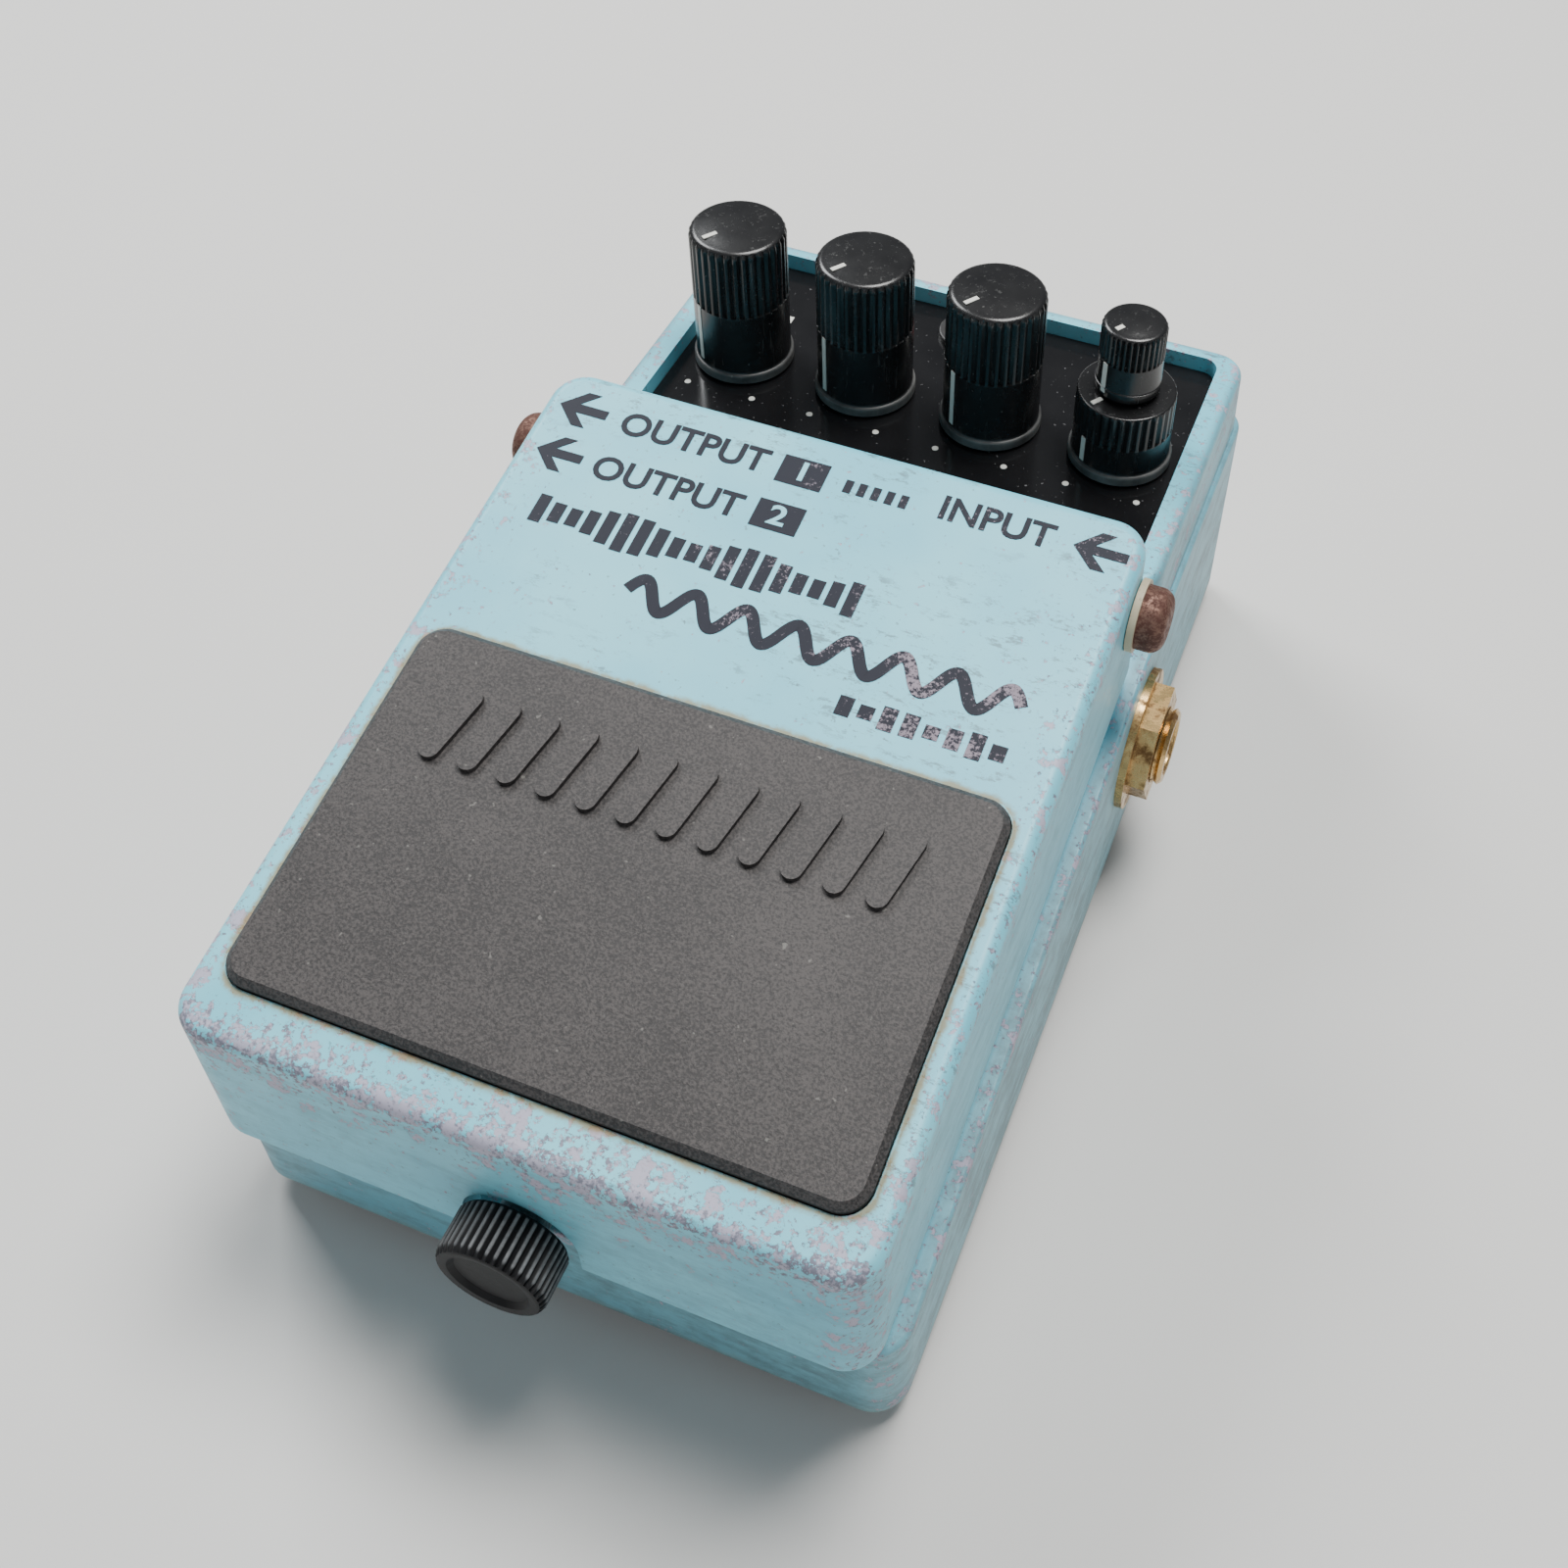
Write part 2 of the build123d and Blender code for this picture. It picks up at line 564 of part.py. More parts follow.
# ---- thumbscrew ---------------------------------------------------------------------
def make_thumbscrew():
    """The knurled head, its steel screw and the threaded insert in the case."""
    head_back = TREADLE_FRONT_Y - SCREW_GAP
    lug_front = FRONT_Y + 2.0
    with BuildPart() as head:
        with BuildSketch(Plane.XZ.offset(-head_back)):
            with Locations((0, SCREW_Z)):
                Circle(SCREW_HEAD_R - 0.35)
                with PolarLocations(SCREW_HEAD_R - 0.4, RIDGES):
                    Circle(0.36)
        extrude(amount=SCREW_HEAD_L)
        with BuildSketch(Plane.XZ.offset(-head_back + SCREW_HEAD_L)):
            with Locations((0, SCREW_Z)):
                Circle(SCREW_HEAD_R - 1.4)
        extrude(amount=-0.6, mode=Mode.SUBTRACT)
        with BuildSketch(Plane.XZ.offset(-head_back)):
            with Locations((0, SCREW_Z)):
                Circle(SCREW_R)
        extrude(amount=4.0, mode=Mode.SUBTRACT)
    save(head, "thumbscrew_head")
    with BuildPart() as screw:
        with BuildSketch(Plane.XZ.offset(-head_back + 4.0)):
            with Locations((0, SCREW_Z)):
                Circle(SCREW_R)
        extrude(amount=-(4.0 + lug_front + 5.6 - head_back))
        with BuildSketch(Plane.XZ.offset(-head_back)):
            with Locations((0, SCREW_Z)):
                Circle(SCREW_COLLAR_R)
        extrude(amount=-(lug_front - 0.3 - head_back))
    save(screw, "thumbscrew_shank")
    with BuildPart() as insert:
        with BuildSketch(Plane.XZ.offset(-lug_front)):
            with Locations((0, SCREW_Z)):
                Circle(INSERT_R)
                Circle(SCREW_R + RUN_FIT, mode=Mode.SUBTRACT)
        extrude(amount=-5.8)
    save(insert, "screw_insert")


# ---- jacks --------------------------------------------------------------------------
def make_jack(name, y, side):
    """A phone jack: insulated body inside, threaded bushing through the wall, washer and nut."""
    wall = side * HALF_W
    inside = side * (HALF_W - WALL)
    length, wide, tall = JACK_BODY
    with BuildPart() as body:
        with BuildSketch(Plane.YZ.offset(inside - side * 0.1)):
            with Locations((y, JACK_Z)):
                RectangleRounded(wide, tall, 1.0)
        extrude(amount=-side * length)
        with BuildSketch(Plane.YZ.offset(inside)):
            with Locations((y, JACK_Z)):
                Circle(JACK_R)
        extrude(amount=-side * 4.1, mode=Mode.SUBTRACT)
        with BuildSketch(Plane.YZ.offset(inside)):
            with Locations((y, JACK_Z)):
                Circle(JACK_BORE_R + 0.9)
        extrude(amount=-side * (length - 2), mode=Mode.SUBTRACT)
    save(body, f"{name}_body")
    with BuildPart() as bushing:
        with BuildSketch(Plane.YZ.offset(inside - side * 4.0)):
            with Locations((y, JACK_Z)):
                Circle(JACK_R - 0.02)
        extrude(amount=side * (WALL + 4.0 + JACK_OUT))
        far = bushing.faces().sort_by(Axis.X)[-1 if side > 0 else 0]
        chamfer(far.edges(), 0.4)
        with BuildSketch(Plane.YZ.offset(inside - side * 6)):
            with Locations((y, JACK_Z)):
                Circle(JACK_BORE_R)
        extrude(amount=side * 30, mode=Mode.SUBTRACT)
    save(bushing, f"{name}_bushing")
    with BuildPart() as washer:
        with BuildSketch(Plane.YZ.offset(wall)):
            with Locations((y, JACK_Z)):
                Circle(JACK_WASHER_R)
                Circle(JACK_R, mode=Mode.SUBTRACT)
        extrude(amount=side * 0.9)
    save(washer, f"{name}_washer")
    with BuildPart() as nut:
        with BuildSketch(Plane.YZ.offset(wall + side * 0.9)):
            with Locations((y, JACK_Z)):
                RegularPolygon(7.3, 6)
                Circle(JACK_R, mode=Mode.SUBTRACT)
        extrude(amount=side * 2.2)
    save(nut, f"{name}_nut")


def make_power_jack():
    """The power socket in the rear wall, with its centre pin."""
    with BuildPart() as socket:
        with BuildSketch(Plane.XZ.offset(-REAR_Y + WALL + 0.1)):
            with Locations((DC_X, DC_Z)):
                Rectangle(14, 12)
        extrude(amount=10)
        with BuildSketch(Plane.XZ.offset(-REAR_Y + WALL + 0.1)):
            with Locations((DC_X, DC_Z)):
                Circle(DC_R - 0.1)
        extrude(amount=-WALL)
        with BuildSketch(Plane.XZ.offset(-REAR_Y - 1)):
            with Locations((DC_X, DC_Z)):
                Circle(2.8)
                Circle(1.05, mode=Mode.SUBTRACT)
        extrude(amount=11, mode=Mode.SUBTRACT)
    save(socket, "power_jack")


# ---- inside -------------------------------------------------------------------------
def make_inside():
    """Circuit boards, battery and battery snap."""
    with BuildPart() as board:
        with BuildSketch(Plane.XY.offset(6.4)):
            with Locations((14.0, -12.0)):
                Rectangle(34, 76)
        extrude(amount=1.6)
        with BuildSketch(Plane.XY.offset(8.0)):
            with Locations((4, -36), (16, -36), (4, -14), (22, -10)):
                Rectangle(8, 12)
            with Locations((26, -40), (26, -30), (8, 12), (20, 14)):
                Circle(2.4)
        extrude(amount=2.4)
    save(board, "main_board")
    with BuildPart() as upper:
        with BuildSketch(Plane.XY.offset(21.0)):
            with Locations((0, KNOB_Y)):
                Rectangle(62, 23)
        extrude(amount=1.6)
        with BuildSketch(Plane.XY.offset(22.6)):
            with Locations(*[(x, KNOB_Y - 10) for x in KNOB_PLACES]):
                Rectangle(7, 4)
        extrude(amount=2.0)
    save(upper, "control_board")
    x, y = BATTERY_PLACE
    with BuildPart() as battery:
        with BuildSketch(Plane.XY.offset(BASE_Z + 0.3)):
            with Locations((x, y)):
                Rectangle(BATTERY[0], BATTERY[1])
        extrude(amount=BATTERY[2])
        fillet(battery.edges().filter_by(Axis.Y), 1.5)
    save(battery, "battery")
    with BuildPart() as snap:
        with BuildSketch(Plane.XZ.offset(-(y - BATTERY[1] / 2) + 0.1)):
            with Locations((x + 3, BASE_Z + 6)):
                RectangleRounded(18, 8, 2.0)
        extrude(amount=2.8)
    save(snap, "battery_snap")


make_case_shell()
make_base()
make_panel()
make_hinge()
make_treadle()
make_switch()
make_pots()
make_knobs()
make_thumbscrew()
make_jack("input_jack", INPUT_Y, 1)
make_jack("output_a_jack", OUTPUT_A_Y, -1)
make_jack("output_b_jack", OUTPUT_B_Y, -1)
make_power_jack()
make_inside()
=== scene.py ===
# %% [markdown]
# # A guitar effects pedal
# The metal, plastic and rubber parts arrive as a fixed model in metres. This lesson gives every
# one of them a finish, and rebuilds the few whose detail is finer than the model holds: the
# fluted knobs, the ridged thumbscrew, the threaded jack necks, and everything that is printed.

# %% Load the model
import math

import bmesh
import bpy
from mathutils import Matrix, Vector


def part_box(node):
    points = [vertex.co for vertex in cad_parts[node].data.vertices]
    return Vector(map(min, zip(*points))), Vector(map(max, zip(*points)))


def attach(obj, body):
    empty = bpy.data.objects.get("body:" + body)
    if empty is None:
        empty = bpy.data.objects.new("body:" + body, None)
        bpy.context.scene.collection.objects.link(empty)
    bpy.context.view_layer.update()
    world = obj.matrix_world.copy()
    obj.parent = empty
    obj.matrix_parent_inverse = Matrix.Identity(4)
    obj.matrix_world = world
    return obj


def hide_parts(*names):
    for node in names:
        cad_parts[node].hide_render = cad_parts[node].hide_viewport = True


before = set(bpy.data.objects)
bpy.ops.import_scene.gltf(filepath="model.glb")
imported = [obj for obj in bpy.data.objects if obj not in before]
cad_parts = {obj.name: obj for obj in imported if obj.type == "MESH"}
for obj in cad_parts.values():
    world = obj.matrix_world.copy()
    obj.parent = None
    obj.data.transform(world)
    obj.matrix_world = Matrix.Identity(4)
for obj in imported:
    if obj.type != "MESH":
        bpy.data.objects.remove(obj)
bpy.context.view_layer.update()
MM = 0.001


def corners(node):
    """The two opposite corners of a part's box, in millimetres."""
    low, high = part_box(node)
    return Vector(low) / MM, Vector(high) / MM


def middle(node):
    """The centre of a part's box, in millimetres."""
    low, high = corners(node)
    return (low + high) / 2


# %% [markdown]
# The treadle's top is one sloping plane, and the pad, the printing and the worn paint all follow
# it. Its front edge, rise and width are said once here, and `on_treadle` turns a distance up the
# slope into a place in the model.

# %% The treadle's plane
SLOPE = 0.185
TILT = math.atan(SLOPE)
TREADLE_TOP = 38.5
treadle_low, treadle_high = corners("treadle_shell")
TREADLE_FRONT = treadle_low.y
TREADLE_HALF = treadle_high.x
print("treadle front edge at y =", round(TREADLE_FRONT, 2), "mm, half width", round(TREADLE_HALF, 2), "mm")


def on_treadle(x, along, above=0.0):
    """A matrix that lays a flat piece on the treadle: millimetres across, up the slope and above."""
    y = TREADLE_FRONT + along * math.cos(TILT) - above * math.sin(TILT)
    z = TREADLE_TOP + along * math.sin(TILT) + above * math.cos(TILT)
    return Matrix.Translation((x * MM, y * MM, z * MM)) @ Matrix.Rotation(TILT, 4, "X")


# %% [markdown]
# ## Camera, floor and light
# The camera stands high in front of the right-hand corner and looks down at the treadle. The
# floor is plain and pale, a soft lamp hangs overhead, another behind the left shoulder, and a
# weak one fills the front, so the paint's sheen and the rubber's grain both read.

# %% Camera
CAMERA_PLACE = Vector((57.9, -121.6, 189.9)) * MM
CAMERA_AIM = Vector((5.1, 28.4, 30.0)) * MM
CAMERA_ROLL = math.radians(1.8)

lens = bpy.data.cameras.new("camera")
lens.lens = 42.3
lens.shift_x = -0.089
lens.shift_y = -0.157
lens.clip_start = 0.01
lens.clip_end = 20.0
camera = bpy.data.objects.new("camera", lens)
bpy.context.collection.objects.link(camera)
look = (CAMERA_AIM - CAMERA_PLACE).to_track_quat("-Z", "Y").to_matrix().to_4x4()
camera.matrix_world = Matrix.Translation(CAMERA_PLACE) @ look @ Matrix.Rotation(CAMERA_ROLL, 4, "Z")
bpy.context.scene.camera = camera
print("camera at", [round(v, 3) for v in camera.location])

# %% Soft lamps
LAMP_AIM = Vector((0, 0, 0.03))


def soft_lamp(name, place, size, watts, tint):
    """A square area lamp at a place in metres, pointed at the middle of the pedal."""
    data = bpy.data.lights.new(name, "AREA")
    data.shape = "SQUARE"
    data.size = size
    data.energy = watts
    data.color = tint
    lamp = bpy.data.objects.new(name, data)
    bpy.context.collection.objects.link(lamp)
    turn = (LAMP_AIM - Vector(place)).to_track_quat("-Z", "Y").to_matrix().to_4x4()
    lamp.matrix_world = Matrix.Translation(place) @ turn


soft_lamp("key_lamp", (0.1, 0.2, 0.8), 0.34, 8.6, (1.0, 0.99, 0.97))
soft_lamp("shoulder_lamp", (-0.5, 0.34, 0.62), 0.3, 5.2, (0.97, 0.99, 1.0))
soft_lamp("fill_lamp", (0.1, -0.8, 0.4), 0.7, 1.3, (0.95, 0.98, 1.0))

world = bpy.data.worlds.new("studio")
world.use_nodes = True
backdrop = world.node_tree.nodes["Background"]
backdrop.inputs["Color"].default_value = (0.75, 0.8, 0.86, 1)
backdrop.inputs["Strength"].default_value = 0.24
bpy.context.scene.world = world

# %% [markdown]
# ## Writing node trees as arithmetic
# A finish is a sum of masks: grime here, chips there. Wiring that by hand hides the idea, so
# `Value` wraps one socket and lets Python's own operators add the Math nodes. `Maker` owns a
# tree and adds any other node in one line; finishes and Geometry Nodes trees both use it.

# %% Sockets that do arithmetic
class Value:
    """A node's output that takes part in Python arithmetic."""

    def __init__(self, maker, socket):
        self.maker, self.socket = maker, socket

    def maths(self, operation, *others):
        """A Math node with this value first."""
        return self.maker.add("ShaderNodeMath", {"operation": operation}, self, *others)

    def __add__(self, other):
        return self.maths("ADD", other)

    def __sub__(self, other):
        return self.maths("SUBTRACT", other)

    def __rsub__(self, other):
        return self.maker.add("ShaderNodeMath", {"operation": "SUBTRACT"}, other, self)

    def __mul__(self, other):
        return self.maths("MULTIPLY", other)

    def __truediv__(self, other):
        return self.maths("DIVIDE", other)

    def __rtruediv__(self, other):
        return self.maker.add("ShaderNodeMath", {"operation": "DIVIDE"}, other, self)

    def __pow__(self, other):
        return self.maths("POWER", other)

    def __mod__(self, other):
        return self.maths("MODULO", other)

    def __abs__(self):
        return self.maths("ABSOLUTE")

    def most(self, other):
        return self.maths("MAXIMUM", other)

    def least(self, other):
        return self.maths("MINIMUM", other)

    __radd__ = __add__
    __rmul__ = __mul__


def hypot(a, b):
    """The length of two values at right angles."""
    return (a * a + b * b).maths("SQRT")


print("values add, take away, multiply, divide and compare")

# %% A maker of node trees
class Maker:
    """Adds nodes to a tree: settings first, then the values or links of its sockets."""

    def __init__(self, tree):
        self.tree = tree

    def add(self, kind, settings=None, *values, out=0, **named):
        node = self.tree.nodes.new(kind)
        for key, value in (settings or {}).items():
            setattr(node, key, value)
        for number, value in enumerate(values):
            self.join(value, node.inputs[number])
        for key, value in named.items():
            self.join(value, node.inputs[key.replace("_", " ")])
        return Value(self, node.outputs[out])

    def join(self, value, socket):
        """Links a value to a socket, or sets the socket to a plain number, colour or material."""
        if isinstance(value, Value):
            self.tree.links.new(value.socket, socket)
        elif isinstance(value, tuple):
            size = len(socket.default_value)
            socket.default_value = value + (1.0,) * (size - len(value))
        else:
            socket.default_value = value


print("maker of node trees ready")

# %% [markdown]
# ## The words of a finish
# Colours are said as they look on a screen and turned into light by `screen`. A `Finish` is a
# material whose masks come from Object coordinates, which on these parts are places in the model
# in metres. Its methods are the words every finish below is written in: `noise`, `step`, `mix`.

# %% Finishes
def screen(red, green, blue):
    """A colour as a screen shows it, 0 to 255, as linear light."""
    def light(part):
        part = part / 255
        return part / 12.92 if part <= 0.04045 else ((part + 0.055) / 1.055) ** 2.4
    return (light(red), light(green), light(blue))


class Finish(Maker):
    """A procedural material on Object coordinates."""

    def __init__(self, name):
        self.material = bpy.data.materials.new(name)
        self.material.use_nodes = True
        super().__init__(self.material.node_tree)
        self.shader = self.tree.nodes["Principled BSDF"]
        self.place = self.add("ShaderNodeTexCoord", {}, out="Object")

    def axes(self):
        """x, y and z in millimetres."""
        node = self.tree.nodes.new("ShaderNodeSeparateXYZ")
        self.tree.links.new(self.place.socket, node.inputs[0])
        return [Value(self, output) * (1 / MM) for output in node.outputs]

    def noise(self, size, detail=4.0, roughness=0.55, shift=0.0, stretch=(1, 1, 1)):
        """Soft noise whose lumps are about size millimetres, 0 to 1."""
        spread = tuple(s / (size * MM) for s in stretch)
        moved = (shift, shift * 0.7, shift * 0.3)
        at = self.add("ShaderNodeMapping", {}, self.place, moved, (0, 0, 0), spread)
        return self.add("ShaderNodeTexNoise", {}, Vector=at, Scale=1.0, Detail=detail, Roughness=roughness)

    def step(self, value, low, high):
        """0 below low, 1 above high and smooth between."""
        smooth = {"interpolation_type": "SMOOTHSTEP"}
        return self.add("ShaderNodeMapRange", smooth, value, low, high, 0.0, 1.0)

    def mix(self, share, first, second):
        """A colour between two, by a share from 0 to 1."""
        node = self.tree.nodes.new("ShaderNodeMix")
        node.data_type = "RGBA"
        for value, place in ((share, 0), (first, 6), (second, 7)):
            self.join(value, node.inputs[place])
        return Value(self, node.outputs[2])

    def set(self, **inputs):
        """Sets the shader's sockets."""
        for key, value in inputs.items():
            self.join(value, self.shader.inputs[key.replace("_", " ")])
        return self

    def bump(self, height, depth, strength=1.0):
        """Relief from a height of 0 to 1 that stands depth millimetres tall."""
        relief = self.add("ShaderNodeBump", {}, Strength=strength, Distance=depth * MM, Height=height)
        return self.set(Normal=relief)


def dress(finish, *nodes):
    """Gives parts of the loaded model a finish."""
    for node in nodes:
        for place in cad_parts[node].material_slots:
            place.material = finish.material


print("finish words ready")

# %% [markdown]
# ## Painted castings
# The real castings are sprayed a pale blue that has lived on a floor: the paint is a little
# mottled, dirty specks sit in patches, and it has chipped to a pinkish grey wherever a shoe or
# a case rubs. Chips are one noise pushed over a threshold by closeness to an edge, so they crowd
# along edges and thin out over the flats, as real wear does.

# %% Paint colours
PAINT = screen(114, 202, 223)
PAINT_LIGHT = screen(134, 216, 233)
# The next colour is a painted shade for the upright walls, and also the colour of their dull streaks.
WALL_SHADE_AND_STREAKS = screen(104, 156, 172)
CHIP_DARK = screen(116, 92, 108)
CHIP_PALE = screen(184, 168, 186)
DIRT = screen(84, 92, 98)
GRIME = screen(148, 126, 70)


def closeness(distance, reach):
    """1 on an edge, falling to nothing over about reach millimetres."""
    return (distance * (-1 / reach)).maths("EXPONENT")


print("paint colours and the rule for edges ready")

# %% Marks in the paint
def wall_blotches(skin, broad, mottle):
    """Streaky dull patches for the upright walls."""
    streak = skin.noise(3.0, 7, 0.75, 4.2, (0.35, 0.35, 1.3))
    return skin.step(streak * 0.55 + mottle * 0.25 + broad * 0.2, 0.42, 0.62)


def dirt_marks(skin, x, walls):
    """Short scuffs that sit in patches on the flats, and small specks everywhere."""
    patch = skin.step(skin.noise(16, 3, 0.5, 21.0) + x * 0.003, 0.5, 0.62)
    scuff = skin.step(skin.noise(1.6, 7, 0.8, 5.5, (0.45, 1.2, 1)), 0.535, 0.62) * patch * (1.0 - walls)
    speck = skin.step(skin.noise(0.7, 2, 0.5, 9.1), 0.69, 0.75)
    return (scuff * 0.65 + speck * 0.5).least(0.8)


def paint_chips(skin, wear, broad, mottle):
    """Fine chips pushed over a threshold by wear, and wider bare spots where wear is high."""
    fine = skin.noise(0.75, 5, 0.65, 7.7)
    rub = skin.noise(7, 3, 0.5, 12.0) * 0.6 + 0.7
    worn = (wear * 4.0).least(1.0) * 0.09
    spots = skin.step(mottle * 0.8 + broad * 0.2 + worn, 0.63, 0.66) * (wear * 6.0).least(1.0)
    return skin.step(fine * 0.72 + mottle * 0.28 + wear * rub * 0.19, 0.61, 0.655).most(spots)


print("paint marks: blotches, dirt, chips")

# %% Paint
def paint(name, wear_of, grime_of, walls_of, shade=WALL_SHADE_AND_STREAKS, dull=0.2):
    """Pale blue paint, with chips where wear is high, grime where asked, and walls darkened by painted shade
    and dull streaks.
    """
    skin = Finish(name)
    x, y, z = skin.axes()
    grime, walls = grime_of(skin, x, y, z), walls_of(x, y, z)
    broad, mottle, grain = skin.noise(26, 3), skin.noise(2.2, 6, 0.7, 3.1), skin.noise(0.35, 3, 0.6, 1.3)
    blotch = wall_blotches(skin, broad, mottle)
    chips = paint_chips(skin, wear_of(x, y, z), broad, mottle)
    bare = skin.mix(skin.step(grain * 0.45 + mottle * 0.55, 0.43, 0.56), CHIP_DARK, CHIP_PALE)

    colour = skin.mix(skin.step(broad, 0.35, 0.65), PAINT, PAINT_LIGHT)
    # Painted shade: every wall goes a share dull of the way to the shade colour, and further where the dull
    # streaks lie.
    colour = skin.mix((blotch * 0.42 + dull).least(1.0) * walls, colour, shade)
    colour = skin.mix(dirt_marks(skin, x, walls), colour, DIRT)
    colour = skin.mix(chips * 0.85, colour, bare)
    colour = skin.mix(grime, colour, GRIME)
    matt = 0.36 + broad * 0.12 + blotch * walls * 0.12 + chips * 0.12 + grime * 0.2
    skin.set(Base_Color=colour, Roughness=matt, Coat_Weight=0.06, Coat_Roughness=0.3)
    return skin.bump(grain * 0.06 + mottle * 0.12 - chips * 0.6, 0.08, 0.6)


print("paint recipe ready")

# %% [markdown]
# The treadle's front edge takes every shoe, so it chips most, then its front corners, then the
# sides. A brown line of grime follows the pad's outline: it is a band round a rounded rectangle,
# broken up by noise, and kept to the top so that it does not show through underneath.

# %% Treadle paint
PAD_HALF, PAD_CORNER = 32.25, 3.0
PAD_NEAR, PAD_FAR = 5.0, 46.0
GRIME_GAP = 0.25
GRIME_DEPTH = 1.4, 1.8


def below_top(y, z):
    """How far a place lies under the treadle's top plane."""
    return (y - TREADLE_FRONT) * SLOPE + TREADLE_TOP - z


def treadle_wear(x, y, z):
    """Heaviest on the front edge and its corners, lighter along the sides."""
    ahead, side, below = y - TREADLE_FRONT, abs(x) - TREADLE_HALF, below_top(y, z)
    front = closeness(hypot(ahead, below), 3.6)
    turns = closeness(hypot(side, ahead), 3.0) * (0.7 + x * 0.006)
    sides = closeness(hypot(side, below), 3.0) * 0.5
    return front.most(turns).most(sides) + front * turns * 0.5


def from_pad_edge(x, y):
    """Distance outside (positive) or inside (negative) the pad's rounded outline."""
    along = (y - TREADLE_FRONT) * (1 / math.cos(TILT)) - (PAD_NEAR + PAD_FAR) / 2
    over_x = abs(x) - (PAD_HALF - PAD_CORNER)
    over_y = abs(along) - ((PAD_FAR - PAD_NEAR) / 2 - PAD_CORNER)
    outside = hypot(over_x.most(0.0), over_y.most(0.0))
    return outside + over_x.most(over_y).least(0.0) - PAD_CORNER


def pad_grime(skin, x, y, z):
    """A dirty line round the pad, on the top face only."""
    band = closeness(abs(from_pad_edge(x, y) - GRIME_GAP), 0.8)
    top = 1.0 - skin.step(below_top(y, z), *GRIME_DEPTH)
    return skin.step(band * (skin.noise(3, 5, 0.75, 2.2) * 1.5), 0.3, 0.75) * top * 0.8


def treadle_walls(x, y, z):
    """1 on the upright walls, 0 on the top."""
    return (below_top(y, z) * 0.7 - 0.6).most(0.0).least(1.0)


# The treadle's walls take the default share of painted shade.
dress(paint("treadle_paint", treadle_wear, pad_grime, treadle_walls), "treadle_shell")
print("painted: treadle")

# %% [markdown]
# The case below wears along its ledge, which slopes as the treadle does, down its upright corners
# and on the rim round the panel. Its walls carry a greyer painted shade than the treadle's, for the
# shadow under the treadle's overhang, with dull streaks in it.

# %% Case paint
# A greyer painted shade for the case's walls, standing for the shadow under the treadle; it also colours
# their dull streaks.
CASE_SHADE_AND_STREAKS = screen(98, 118, 125)
LEDGE_FRONT_Z = 17.0
RIM_Z = 41.0
WALL_FADE = 2.2
case_low, case_high = corners("case_shell")


def case_wear(x, y, z):
    """Along the ledge's outer edge, the upright corners and the rim."""
    side = abs(x) - case_high.x
    ledge = z - LEDGE_FRONT_Z - (y - case_low.y) * SLOPE
    ledges = closeness(hypot(side, ledge), 1.6) * 0.62
    front = closeness(hypot(y - case_low.y, ledge), 1.6) * 0.55
    uprights = closeness(hypot(side, y - case_low.y), 2.2) * 0.55
    rim = closeness(abs(z - RIM_Z), 0.9) * 0.3
    return ledges.most(front).most(uprights).most(rim)


def case_grime(skin, x, y, z):
    """A little dirt low on the walls."""
    low = closeness(abs(z - case_low.z), 2.0) * 0.35
    return skin.step(low + skin.noise(7, 4, 0.7, 4.4) * 0.35, 0.3, 0.75) * 0.5


def case_walls(x, y, z):
    """1 on the upright walls."""
    sides = abs(x) - case_high.x
    ends = abs(y - (case_low.y + case_high.y) / 2) - (case_high.y - case_low.y) / 2
    return (sides.most(ends) + WALL_FADE).most(0.0).least(1.0)


# The case's walls go at least 0.42 of the way to their painted shade, further where the streaks lie.
dress(paint("case_paint", case_wear, case_grime, case_walls, CASE_SHADE_AND_STREAKS, 0.42), "case_shell")
print("painted: case")

# %% [markdown]
# ## Rubber, plastic and metal
# The other finishes share a few recipes. Rubber is matt with a fine grain; moulded plastic is
# smoother, with dust and small scratches that lift its roughness; metal is a base colour that
# tarnish or rust stains in patches. Each recipe takes its colours and sizes, so one line makes
# one finish.

# %% Rubber, plastic and metal
def rubber(name, colour, worn, grain_size=0.45):
    """Matt grained rubber that greys where it is rubbed."""
    skin = Finish(name)
    grain, broad = skin.noise(grain_size, 3, 0.6), skin.noise(14, 4, 0.6, 2.0)
    pits = skin.step(skin.noise(grain_size * 2.2, 3, 0.6, 6.0), 0.45, 0.6)
    shade = skin.mix(skin.step(broad * 0.2 + grain * 0.8, 0.4, 0.6), colour, worn)
    dust = skin.step(skin.noise(0.9, 2, 0.5, 8.0), 0.71, 0.76) * 0.35
    shade = skin.mix(dust, shade, screen(150, 148, 142))
    skin.set(Base_Color=shade, Roughness=0.48 + grain * 0.2, Specular_IOR_Level=0.38)
    return skin.bump(grain * 0.7 + pits * 0.3, 0.06, 0.6)


def plastic(name, colour, worn, shine=0.25, dust=0.4, scratch=(1, 1, 0.15)):
    """Moulded plastic with scratches and a little dust."""
    skin = Finish(name)
    marks = skin.step(skin.noise(0.7, 4, 0.7, 2.5, scratch), 0.6, 0.72)
    specks = skin.step(skin.noise(0.6, 2, 0.5, 5.0), 0.7, 0.75)
    film = skin.noise(6, 4, 0.6, 1.0)
    shade = skin.mix((marks * 0.35 + specks * dust + film * 0.12).least(1.0), colour, worn)
    skin.set(Base_Color=shade, Roughness=shine + film * 0.12 + marks * 0.2 + specks * 0.3)
    return skin.bump(skin.noise(0.5, 3, 0.6, 9.0) * 0.5 - marks * 0.5, 0.02, 0.5)


